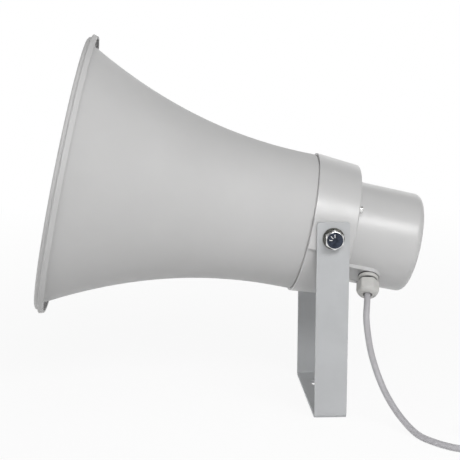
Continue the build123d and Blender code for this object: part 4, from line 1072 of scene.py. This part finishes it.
class HORN_OT_rear_housing(Operator):
    """Makes the collar band with its flat pivot pads"""

    bl_idname = "horn.rear_housing"
    bl_label = "Make Rear Housing"

    def execute(self, context):
        sizes = context.scene.horn_sizes
        profile, outer = self.profile(sizes)
        angles = self.angles(sizes)
        along = profile[:, :1] + 0 * angles
        radius = profile[:, 1:] + 0 * angles
        radius = np.where(outer[:, None], self.with_pads(sizes, along, radius, angles), radius)
        grid = moved(wheel(radius, along, angles), horn_matrix(sizes))
        piece = make_mesh("collar_shell", [grid_piece(grid, True, True)], sharp=50)
        finish_piece(piece, finish_of("polished_abs"), "horn", "grey_abs", "rear_housing")
        return {"FINISHED"}

    def profile(self, sizes):
        """Closed outline of collar, socket, bulkhead and skirt, and which rows are the outside."""
        front, rear = sizes.collar_front, sizes.collar_rear
        top = sizes.neck_radius + sizes.collar_step
        low = top - sizes.collar_draft
        socket = sizes.neck_radius - sizes.sleeve_step + 0.0003
        skirt = low - sizes.collar_wall
        bulkhead = front - sizes.bulkhead_depth
        back, seat = bulkhead - sizes.bulkhead, skirt - sizes.seat_depth
        hub = sizes.throat_radius + sizes.hub_wall
        slope = sizes.collar_draft / (front - rear)
        edge = sizes.collar_edge
        middle = np.linspace(front - 0.0012, rear + edge + 0.0004, 48)[:, None]
        pad_end = np.linspace(sizes.pad_rear + 0.0006, sizes.pad_rear - 0.0006, 13)[:, None]
        middle = np.unique(np.vstack([middle, pad_end]))[::-1][:, None]
        band = np.hstack([middle, top - slope * (front - middle)])
        lead = rounded([(front, socket), (front, top, 0.0008), (front - 0.0012, top - slope * 0.0012)])
        tail = rounded([
            tuple(band[-1]), (rear, low, edge), (rear, skirt - 0.0005, 0.0002),
            (sizes.seat_rear, skirt - 0.0005), (sizes.seat_rear, seat), (sizes.seat_front, seat),
            (sizes.seat_front + sizes.seat_slope, skirt), (back, skirt, 0.002), (back, hub),
            (bulkhead, hub), (bulkhead, socket, 0.001), (front, socket),
        ])[1:-1]
        rows = np.vstack([lead, band, tail])
        outer = np.zeros(len(rows), bool)
        outer[2:len(lead) + len(band) + 3] = True
        return rows, outer

    def angles(self, sizes):
        """Even steps, with fine ones where the pads' edges lie on either side."""
        face = self.pad_face(sizes)
        edges = []
        for height in (sizes.pad_above, -sizes.pad_below):
            low, high = np.arcsin(height / face * 0.95), np.arcsin(height / face * 1.06)
            edges.append(np.linspace(min(low, high) - 0.012, max(low, high) + 0.012, 26))
        edges = np.concatenate(edges)
        turn = np.concatenate([round_angles(216), edges, np.pi - edges])
        return np.unique(np.round(turn % (2 * np.pi), 5))

    def pad_face(self, sizes):
        """Distance of the pads' faces from the horn's middle plane."""
        top = sizes.neck_radius + sizes.collar_step
        rear = top - sizes.collar_draft
        share = -sizes.collar_rear / (sizes.collar_front - sizes.collar_rear)
        return rear + sizes.collar_draft * share + sizes.pad_rise

    def with_pads(self, sizes, along, radius, angles):
        """Collar radius, raised to the pad's flat face where a point lies within the pad.

        The flat face is the radius face / |cos angle|. The rise fades over 0.3 mm by a smooth step
        of the distance inside the pad's edges.
        """
        flat = self.pad_face(sizes) / np.maximum(np.abs(np.cos(angles)), 0.2) + 0 * along
        height = flat * np.sin(angles)
        inside = np.minimum(sizes.pad_above - height, height + sizes.pad_below)
        inside = np.minimum(inside, along - sizes.pad_rear)
        share = np.clip(inside / 0.0003 + 0.5, 0, 1)
        share = share * share * (3 - 2 * share)
        lead = np.clip((sizes.collar_front - along) / 0.0008, 0, 1)
        flat = flat - 0.0008 * (1 - np.sqrt(1 - (1 - lead) ** 2)) * (lead < 1)
        return np.maximum(radius, radius + (flat - radius) * share)


class HORN_OT_driver_cap(Operator):
    """Makes the driver cap and the lipped boss that carries the gland"""

    bl_idname = "horn.driver_cap"
    bl_label = "Make Driver Cap"

    def execute(self, context):
        sizes, hardware = context.scene.horn_sizes, context.scene.horn_hardware
        profile = self.profile(sizes)
        grid = wheel(profile[:, 1], profile[:, 0], round_angles(sizes.segments))
        grid = moved(grid, horn_matrix(sizes))
        boss = moved(self.boss(sizes, hardware), gland_matrix(sizes, hardware))
        cap = [grid_piece(grid, False, True), grid_piece(boss, False, False)]
        piece = make_mesh("driver_cap_shell", cap, sharp=50)
        finish_piece(piece, finish_of("polished_abs"), "horn", "grey_abs", "driver_cap")
        return {"FINISHED"}

    def profile(self, sizes):
        """Outline from the axis round the outside to the flange and back inside to the axis."""
        front, back, rear = sizes.cap_mouth, sizes.cap_front, sizes.cap_rear
        flange = sizes.neck_radius + sizes.collar_step - sizes.collar_draft - sizes.cap_inset
        low = sizes.cap_radius - sizes.cap_draft
        wall = sizes.cap_wall
        return rounded([
            (rear, 0), (rear, low, sizes.cap_corner), (back, sizes.cap_radius, 0.0012),
            (back, flange, 0.0004), (front, flange, 0.0005), (front, sizes.cap_radius - wall, 0.0004),
            (rear + wall, low - wall, sizes.cap_corner - wall), (rear + wall, 0),
        ], steps=14)

    def boss(self, sizes, hardware):
        """Raised boss: its outline is two straight sides and a half circle, followed inward.

        A row is the outline at one distance in from the edge and one height. The rows go up the
        side, over the rounded lip, down to the sunk face and in to the middle line.
        """
        half, face = hardware.boss_half_width, hardware.gland_face
        top, inner = face + hardware.lip_rise, hardware.lip_width
        across = rounded([
            (-0.0025, face - hardware.boss_sink), (0, face - 0.0022, 0.001), (0, top, 0.0008),
            (inner, top, 0.0002), (inner, face, 0.0008), (half, face),
        ], steps=7)
        across[0, 0] = 0
        length = sizes.cap_front - hardware.gland_station
        turn = np.linspace(-np.pi / 2, np.pi / 2, 60)
        straight = np.linspace(-length, 0, 20)[:-1]
        along = np.concatenate([straight, 0 * turn, straight[::-1]])
        cosine = np.concatenate([0 * straight, np.cos(turn), 0 * straight])
        sine = np.concatenate([0 * straight - 1, np.sin(turn), 0 * straight + 1])
        reach = half - across[:, :1]
        return np.stack([along + reach * cosine, reach * sine, across[:, 1:] + 0 * along], axis=-1)


def hex_radius(flats, angles, soft):
    """Radius of a hexagon at an angle from a flat: half the flats over the cosine to the nearest.

    Near a corner the two sides meet by a soft minimum, so that the corner is slightly round.
    """
    step = np.pi / 3
    near = (angles + step / 2) % step - step / 2
    one = flats / 2 / np.cos(near)
    other = flats / 2 / np.cos(step - np.abs(near))
    gap = np.clip(1 - np.abs(other - one) / (4 * soft), 0, 1)
    return np.minimum(one, other) - soft * gap ** 2


def corner_angles(flat):
    """Angles round a hexagon that has a flat at the given angle, closer together at its corners."""
    fine = np.linspace(-1, 1, 27)[:-1]
    fine = np.sign(fine) * np.abs(fine) ** 1.5 * np.pi / 6
    corners = flat + np.arange(6) * np.pi / 3 + np.pi / 6
    return np.unique(np.round((corners[:, None] + fine).ravel() % (2 * np.pi), 6))


def cut_by(radius, limit, soft):
    """The smaller of two radii, with the edge where they cross rounded off by a soft minimum."""
    gap = np.clip(1 - np.abs(radius - limit) / (2 * soft), 0, 1)
    return np.minimum(radius, limit) - soft / 2 * gap ** 2


class HORN_OT_gland(Operator):
    """Makes the cable gland: flanged body with its thread, a black ring of painted shade and dome nut
    """

    bl_idname = "horn.gland"
    bl_label = "Make Gland"

    def execute(self, context):
        sizes, hardware = context.scene.horn_sizes, context.scene.horn_hardware
        place = gland_matrix(sizes, hardware)
        grid = grid_piece(moved(self.body(hardware), place), True, True)
        piece = make_mesh("gland_threaded_body", [grid], sharp=40)
        finish_piece(piece, finish_of("gland_nylon"), "horn", "grey_nylon", "gland_body")
        # The black ring between flange and nut is painted shade for the gap there.
        grid = grid_piece(moved(self.ring(hardware), place), True, True)
        piece = make_mesh("gland_ring", [grid])
        finish_piece(piece, finish_of("black_seal"), "horn", "black_rubber")
        grid = grid_piece(moved(self.nut(hardware), place), True, True)
        piece = make_mesh("gland_dome_nut", [grid], sharp=60)
        finish_piece(piece, finish_of("gland_nylon"), "horn", "grey_nylon", "gland_nut")
        return {"FINISHED"}

    def ring(self, hardware):
        """Black ring on the thread between flange and nut, painted shade in the gap: a turned rounded
        rectangle.
        """
        low = hardware.gland_face + hardware.gland_washer + hardware.gland_flange_height
        high = low + hardware.gland_neck - 0.0002
        inner, outer = hardware.gland_thread / 2, hardware.gland_flange / 2 - 0.0012
        outline = rounded([
            (low, inner), (low, outer, 0.0006), (high, outer, 0.0006), (high, inner),
        ], steps=4)
        return upright(outline[:, 1], outline[:, 0], round_angles(72))

    def body(self, hardware):
        """Turned outline; the thread's radius goes up and down with the height and the angle."""
        pitch, depth, bore = 0.0015, 0.0008, 0.0034
        crest = hardware.gland_thread / 2
        base = hardware.gland_face + hardware.gland_washer
        top = base + hardware.gland_flange_height
        end = top + hardware.gland_neck + 2 * pitch
        angles = round_angles(96)
        outline = rounded([
            (base, bore), (base, hardware.gland_flange / 2, 0.0004),
            (top, hardware.gland_flange / 2 - 0.0001, 0.0010), (top, crest - depth),
        ], steps=8)
        heights = np.arange(top + pitch / 12, end, pitch / 12)
        closing = np.array([(end, crest - depth), (end, bore)])
        height = np.concatenate([outline[:, 0], heights, closing[:, 0]])[:, None] + 0 * angles
        radius = np.concatenate([outline[:, 1], 0 * heights, closing[:, 1]])[:, None] + 0 * angles
        wave = np.abs(((height / pitch + angles / (2 * np.pi)) % 1) * 2 - 1)
        ridge = crest - depth + depth * np.clip(1.4 * wave - 0.2, 0, 1)
        thread = (height > top) & (height < end) & (radius == 0)
        return upright(np.where(thread, ridge, radius), height, angles)

    def nut(self, hardware):
        """Hexagon cut by a turned dome: the radius is the smaller of the two at each point."""
        base = (
            hardware.gland_face + hardware.gland_washer + hardware.gland_flange_height
            + hardware.gland_neck
        )
        rise, height = hardware.nut_hex, hardware.nut_hex + hardware.nut_dome
        beyond = hardware.nut_flats / np.sqrt(3) + 0.0006
        nose, hole, thread = hardware.nut_nose / 2, hardware.nut_hole / 2, hardware.gland_thread / 2
        lead = hardware.nut_lead
        turn = np.linspace(0, np.pi / 2, 30)
        dome = np.column_stack([
            rise - lead + (height - rise + lead) * np.sin(turn) ** 1.25,
            nose + (beyond - nose) * np.cos(turn) ** 1.05,
        ])
        outline = np.vstack([
            rounded([(0, thread), (0, beyond - 0.0012, 0.0003), (0.0008, beyond)], steps=4),
            np.column_stack([np.linspace(0.0014, rise - lead, 10), np.full(10, beyond)])[:-1],
            dome[:-1],
            rounded([
                tuple(dome[-3]), (height, nose, 0.0006), (height, hole, 0.0005), (height - 0.004, hole),
                (height - 0.005, thread), (0, thread),
            ], steps=4)[1:-1],
        ])
        flat = np.pi / 2 + hardware.nut_turn
        angles = corner_angles(flat)
        hexagon = hex_radius(hardware.nut_flats, angles - flat, 0.0003)
        return upright(cut_by(outline[:, 1:], hexagon, 0.0003), base + outline[:, :1], angles)


class HORN_OT_bracket(Operator):
    """Makes the bent steel strip with its holes"""

    bl_idname = "horn.bracket"
    bl_label = "Make Bracket"

    def execute(self, context):
        sizes, hardware = context.scene.horn_sizes, context.scene.horn_hardware
        pieces = self.strip(sizes, hardware)
        piece = make_mesh("bracket_strip", pieces, sharp=32)
        bevel = piece.modifiers.new("edges", "BEVEL")
        bevel.width = 0.00045
        bevel.segments = 3
        bevel.limit_method = "ANGLE"
        bevel.angle_limit = np.radians(50)
        bevel.harden_normals = True
        finish_piece(piece, finish_of("powder_paint"), "bracket", "grey_paint", "bracket")
        return {"FINISHED"}

    def strip(self, sizes, hardware):
        """The flat strip as a grid with holes, on both faces, bent into the U.

        Flat coordinates are the way along the strip, the share across it and the depth. Round each
        hole a square is cut from the grid and filled by rings that blend its edge into the circle.
        A slot is a circle whose two halves are moved apart, in a square made longer by as much.
        """
        top = sizes.pivot_height + hardware.leg_above_pivot
        leg = top - hardware.bend_radius
        bend = np.pi / 2 * hardware.bend_radius
        base = 2 * (hardware.leg_outside - hardware.bend_radius)
        total = 2 * (leg + bend) + base
        middle, spacing = total / 2, hardware.slot_centre
        holes = [
            (hardware.leg_above_pivot, hardware.pivot_hole / 2, 0.0),
            (middle - spacing, hardware.slot_radius, hardware.slot_stretch),
            (middle, hardware.base_hole / 2, 0.0),
            (middle + spacing, hardware.slot_radius, hardware.slot_stretch),
            (total - hardware.leg_above_pivot, hardware.pivot_hole / 2, 0.0),
        ]
        half, square = hardware.strip_width / 2, hardware.hole_frame
        ends = hardware.strip_corner * (1 - np.cos(np.linspace(0, np.pi / 2, 9)))
        steps = [ends, total - ends]
        for start in (leg, leg + bend + base):
            steps.append(start + bend * np.linspace(0, 1, 13))
        for centre, _, stretch in holes:
            steps.append(centre + (square + stretch) * np.linspace(-1, 1, 13))
        steps.append(np.arange(0.03, total - 0.03, 0.009))
        along = np.unique(np.round(np.concatenate(steps), 7))
        keep = np.r_[True, np.diff(along) > 0.00012]
        along = along[keep]
        across = np.unique(np.round(np.concatenate([
            np.linspace(-square, square, 13), np.linspace(square, half, 5),
            -np.linspace(square, half, 5),
        ]), 7))
        flat = np.stack(np.meshgrid(along, across, indexing="ij"), axis=-1)
        faces = grid_faces(len(along), len(across), False, False)
        centre = flat.reshape(-1, 2)[faces].mean(axis=1)
        open_faces = np.zeros(len(faces), bool)
        for place, _, stretch in holes:
            near = np.abs(centre[:, 0] - place) < square + stretch
            open_faces |= near & (np.abs(centre[:, 1]) < square)
        faces = faces[~open_faces]
        rim = np.linspace(-1, 1, 13)[:-1]
        ring = np.concatenate([
            np.column_stack([rim, 0 * rim - 1]), np.column_stack([0 * rim + 1, rim]),
            np.column_stack([-rim, 0 * rim + 1]), np.column_stack([0 * rim - 1, -rim]),
        ])
        thickness = hardware.strip_thickness
        pieces = []
        for depth in (0.0, thickness):
            pieces.append((self.bent(sizes, hardware, flat.reshape(-1, 2), depth), faces))
        for place, radius, stretch in holes:
            outer = ring * [square + stretch, square]
            turn = np.arctan2(ring[:, 1], ring[:, 0])
            circle = radius * np.column_stack([np.cos(turn), np.sin(turn)])
            circle[:, 0] += stretch * np.sign(np.round(ring[:, 0], 9))
            share = np.array([0, 0.35, 0.7, 0.93, 1.0])[:, None, None]
            rings = outer * (1 - share) + circle * share + np.array([place, 0])
            for depth in (0.0, thickness):
                patch = self.bent(sizes, hardware, rings, depth)
                pieces.append(grid_piece(patch, False, True))
            wall = np.stack([
                self.bent(sizes, hardware, rings[-1], depth) for depth in np.linspace(0, thickness, 3)
            ])
            pieces.append(grid_piece(wall, False, True))
        for edge in (0, -1):
            long = np.stack([self.bent(sizes, hardware, flat[:, edge], d) for d in (0.0, thickness)])
            short = np.stack([self.bent(sizes, hardware, flat[edge], d) for d in (0.0, thickness)])
            pieces += [grid_piece(long), grid_piece(short)]
        return pieces

    def bent(self, sizes, hardware, flat, depth):
        """Flat strip to U: down the near leg, round a bend, along the base, and up the far leg.

        Near a leg's end the width narrows by the circle of the corner's radius. A bend turns about
        its centre, so a point at a depth lies at the bend's radius less that depth.
        """
        along, across = flat[..., 0].copy(), flat[..., 1].copy()
        top = sizes.pivot_height + hardware.leg_above_pivot
        radius, outside, corner = hardware.bend_radius, hardware.leg_outside, hardware.strip_corner
        leg, bend, base = top - radius, np.pi / 2 * radius, 2 * (outside - radius)
        total = 2 * (leg + bend) + base
        half = hardware.strip_width / 2
        to_end = np.minimum(along, total - along)
        cut = np.clip(corner - to_end, 0, corner)
        width = half - corner + np.sqrt(np.maximum(corner ** 2 - cut ** 2, 0))
        across = across * width / half
        side = np.where(along < total / 2, -1.0, 1.0)
        t = to_end
        turn = np.clip((t - leg) / bend, 0, 1) * np.pi / 2
        down = np.minimum(t, leg)
        inward = np.maximum(t - leg - bend, 0)
        y = outside - radius + (radius - depth) * np.cos(turn) - inward
        z = top - down - (radius - depth) * np.sin(turn)
        return np.stack([across, side * y, z], axis=-1)


class HORN_OT_fasteners(Operator):
    """Makes the pivot bolts with their washers, and the screws that show"""

    bl_idname = "horn.fasteners"
    bl_label = "Make Fasteners"

    def execute(self, context):
        sizes, hardware = context.scene.horn_sizes, context.scene.horn_hardware
        for side, name in ((-1, "near"), (1, "far")):
            seat = Matrix.Translation((0, side * hardware.leg_outside, sizes.pivot_height))
            place = seat @ Matrix.Rotation(-side * np.pi / 2, 4, "X")
            shapes = {
                "pivot_bolt": (self.bolt(hardware), "bolt_zinc"),
                "flat_washer": (self.flat_washer(hardware), "washer_zinc"),
                "split_washer": (self.split_washer(hardware), "washer_zinc"),
            }
            for kind, (grid, look) in shapes.items():
                wraps = kind != "split_washer"
                grid = grid_piece(moved(grid, place), wraps, True)
                piece = make_mesh(f"{kind}_{name}", [grid], sharp=35)
                finish_piece(piece, finish_of(look), "horn", "bright_steel")
        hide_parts("pivot_bolts")
        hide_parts("flat_washers")
        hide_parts("spring_washers")
        screws = []
        for turn in np.radians((30.0, 150.0, 270.0)):
            circle = sizes.cap_screw_circle
            seat = Matrix.Translation((-sizes.cap_front, -circle * np.cos(turn), circle * np.sin(turn)))
            place = horn_matrix(sizes) @ seat @ Matrix.Rotation(np.pi / 2, 4, "Y")
            screws.append(grid_piece(moved(self.washer_head_screw(), place), False, True))
        piece = make_mesh("cap_screw_heads", screws, sharp=35)
        finish_piece(piece, finish_of("bright_zinc"), "horn", "bright_steel", "cap_screws")
        return {"FINISHED"}

    def bolt(self, hardware):
        """Hexagon head under a 30 degree cone, with a flat face, three raised ticks and a shank.

        A tick is a rise of the face where the point lies within a short bar, which is a product of
        two clipped slopes: one over the distance from the bar's line, one over that from its ends.
        """
        seat = hardware.flat_washer_thickness + hardware.spring_washer_thickness
        height, flats, shank = hardware.bolt_head, hardware.bolt_flats, hardware.bolt_diameter / 2
        face, beyond = 0.457 * flats, flats / np.sqrt(3) + 0.0006
        drop = (beyond - face) / np.sqrt(3)
        cone = np.linspace(0, 1, 9)
        end, under = -hardware.bolt_length, flats / 2 - 0.0004
        outline = np.vstack([
            rounded([(end, 0.0), (end, shank - 0.0001, 0.0008), (0, shank)]),
            rounded([(0, shank), (0, under, 0.0002), (0.0003, under), (0.0003, beyond)])[1:],
            np.column_stack([np.linspace(0.0006, height - drop, 7), np.full(7, beyond)])[:-1],
            np.column_stack([height - drop * (1 - cone), beyond + (face - beyond) * cone]),
            np.column_stack([np.full(40, height), np.linspace(face, 0, 41)[1:]]),
        ])
        angles = corner_angles(0.0)
        fine = round_angles(240)
        angles = np.unique(np.round(np.concatenate([angles, fine]), 4))
        along, radius = outline[:, :1] + 0 * angles, outline[:, 1:] + 0 * angles
        head = along > 0.00029
        radius = np.where(head, np.minimum(radius, hex_radius(flats, angles, 0.00025)), radius)
        x, y = radius * np.cos(angles), radius * np.sin(angles)
        for turn in np.radians((92.0, 135.0, 178.0)):
            far, off = x * np.cos(turn) + y * np.sin(turn), y * np.cos(turn) - x * np.sin(turn)
            across = np.clip((0.0005 - np.abs(off)) / 0.0002, 0, 1)
            bar = across * np.clip((0.0017 - np.abs(far - 0.0038)) / 0.0003, 0, 1)
            along = along + np.where(along >= height - 1e-6, TICK_RISE * bar, 0)
        return np.stack([x, y, seat + along], axis=-1)

    def flat_washer(self, hardware):
        """Plain ring with eased edges."""
        inner, outer = hardware.bolt_diameter / 2 + 0.0003, hardware.flat_washer / 2
        high = hardware.flat_washer_thickness
        outline = rounded([
            (inner, 0, 0.0002), (outer, 0, 0.0003), (outer, high, 0.0003), (inner, high, 0.0002),
        ], closed=True, steps=4)
        return upright(outline[:, 0], outline[:, 1], round_angles(96))

    def split_washer(self, hardware):
        """A square section carried nearly once round, leaning at the split and capped at both ends.

        The rows go round the turn and the columns round the section, so the first and the last row
        are drawn together to the section's middle as two end caps.
        """
        inner, outer = hardware.bolt_diameter / 2 + 0.0001, hardware.spring_washer / 2
        low = hardware.flat_washer_thickness
        high = low + hardware.spring_washer_thickness
        outline = rounded([
            (inner, low, 0.0003), (outer, low, 0.0003), (outer, high, 0.0003), (inner, high, 0.0003),
        ], closed=True, steps=3)
        turns = np.linspace(0.06, 2 * np.pi - 0.06, 90) + np.pi / 2
        lean = (outline[:, 1] - low) * 0.09 / hardware.spring_washer_thickness
        grid = upright(outline[:, 0], outline[:, 1], (turns[:, None, None] + lean[:, None]))[..., 0, :]
        middle = grid.mean(axis=1, keepdims=True) + 0 * grid
        return np.concatenate([middle[:1], grid, middle[-1:]])

    def washer_head_screw(self):
        """Turned outline of flat washer, split washer and domed head, with a cross recess.

        The recess is a depth taken off the dome along two bars that cross in the middle.
        """
        radius, rise, seat = 0.0036, 0.0026, 0.0021
        skirt = rounded([
            (-0.0002, 0.0), (-0.0002, 0.0046, 0.0001), (0.0009, 0.0046, 0.0002), (0.0009, 0.0037),
            (seat - 0.0001, 0.0037, 0.0002), (seat - 0.0001, 0.0033), (seat, 0.0033),
            (seat, radius, 0.0002), (seat + 0.0007, radius),
        ], steps=4)
        share = np.linspace(1.0, 0.0, 30)
        dome = seat + 0.0007 + (rise - 0.0007) * np.sqrt(np.maximum(1 - share ** 2.4, 0))
        height = np.concatenate([skirt[:-1, 0], dome])[:, None]
        angles = round_angles(96)
        r = np.concatenate([skirt[:-1, 1], share * radius])[:, None]
        x, y = r * np.cos(angles), r * np.sin(angles)
        arm, reach = np.minimum(np.abs(x), np.abs(y)), np.maximum(np.abs(x), np.abs(y))
        bar = np.clip((0.00052 - arm) / 0.00018, 0, 1) * np.clip((0.0019 - reach) / 0.0003, 0, 1)
        return np.stack([x, y, height - 0.0012 * bar * (height > seat)], axis=-1)


class HORN_OT_inner_parts(Operator):
    """Gives every part that keeps its plain solid the finish of its kind"""

    bl_idname = "horn.inner_parts"
    bl_label = "Finish Inner Parts"

    def execute(self, context):
        slots = {part["node"]: part["material_slot"] for part in frame["record"]["subparts"]}
        for name, node in frame["nodes"].items():
            node.data.materials.clear()
            node.data.materials.append(finish_of(SLOT_LOOKS[slots[name]]))
        return {"FINISHED"}


class HORN_PT_pieces(Panel):
    """Lists the pieces in the sidebar"""

    bl_idname = "HORN_PT_pieces"
    bl_label = "Horn Loudspeaker"
    bl_space_type = "VIEW_3D"
    bl_region_type = "UI"
    bl_category = "Horn"

    def draw(self, context):
        for operator in OPERATORS:
            self.layout.operator(operator.bl_idname)
        for group in ("horn_sizes", "horn_hardware", "horn_finishes", "horn_stage"):
            box = self.layout.box()
            settings = getattr(context.scene, group)
            for name in settings.__annotations__:
                box.prop(settings, name)


GROUPS = {
    "horn_sizes": HornSizes, "horn_hardware": HardwareSizes, "horn_finishes": Finishes,
    "horn_stage": StageSettings,
}
OPERATORS = (
    HORN_OT_stage, HORN_OT_cable, HORN_OT_bell, HORN_OT_folded_horn, HORN_OT_rear_housing,
    HORN_OT_driver_cap, HORN_OT_gland, HORN_OT_bracket, HORN_OT_fasteners, HORN_OT_inner_parts,
)


def register():
    """Registers the classes and hangs the settings on the scene."""
    for group in GROUPS.values():
        bpy.utils.register_class(group)
    for name, group in GROUPS.items():
        setattr(bpy.types.Scene, name, PointerProperty(type=group))
    for cls in (*OPERATORS, HORN_PT_pieces):
        bpy.utils.register_class(cls)


def unregister():
    """Takes the settings off the scene and unregisters the classes."""
    for cls in (HORN_PT_pieces, *reversed(OPERATORS)):
        bpy.utils.unregister_class(cls)
    for name in GROUPS:
        delattr(bpy.types.Scene, name)
    for group in reversed(GROUPS.values()):
        bpy.utils.unregister_class(group)


def main():
    """Makes everything in order."""
    register()
    bpy.ops.horn.stage()
    bpy.ops.horn.cable()
    bpy.ops.horn.bell()
    bpy.ops.horn.folded_horn()
    bpy.ops.horn.rear_housing()
    bpy.ops.horn.driver_cap()
    bpy.ops.horn.gland()
    bpy.ops.horn.bracket()
    bpy.ops.horn.fasteners()
    bpy.ops.horn.inner_parts()


if __name__ == "__main__":
    main()
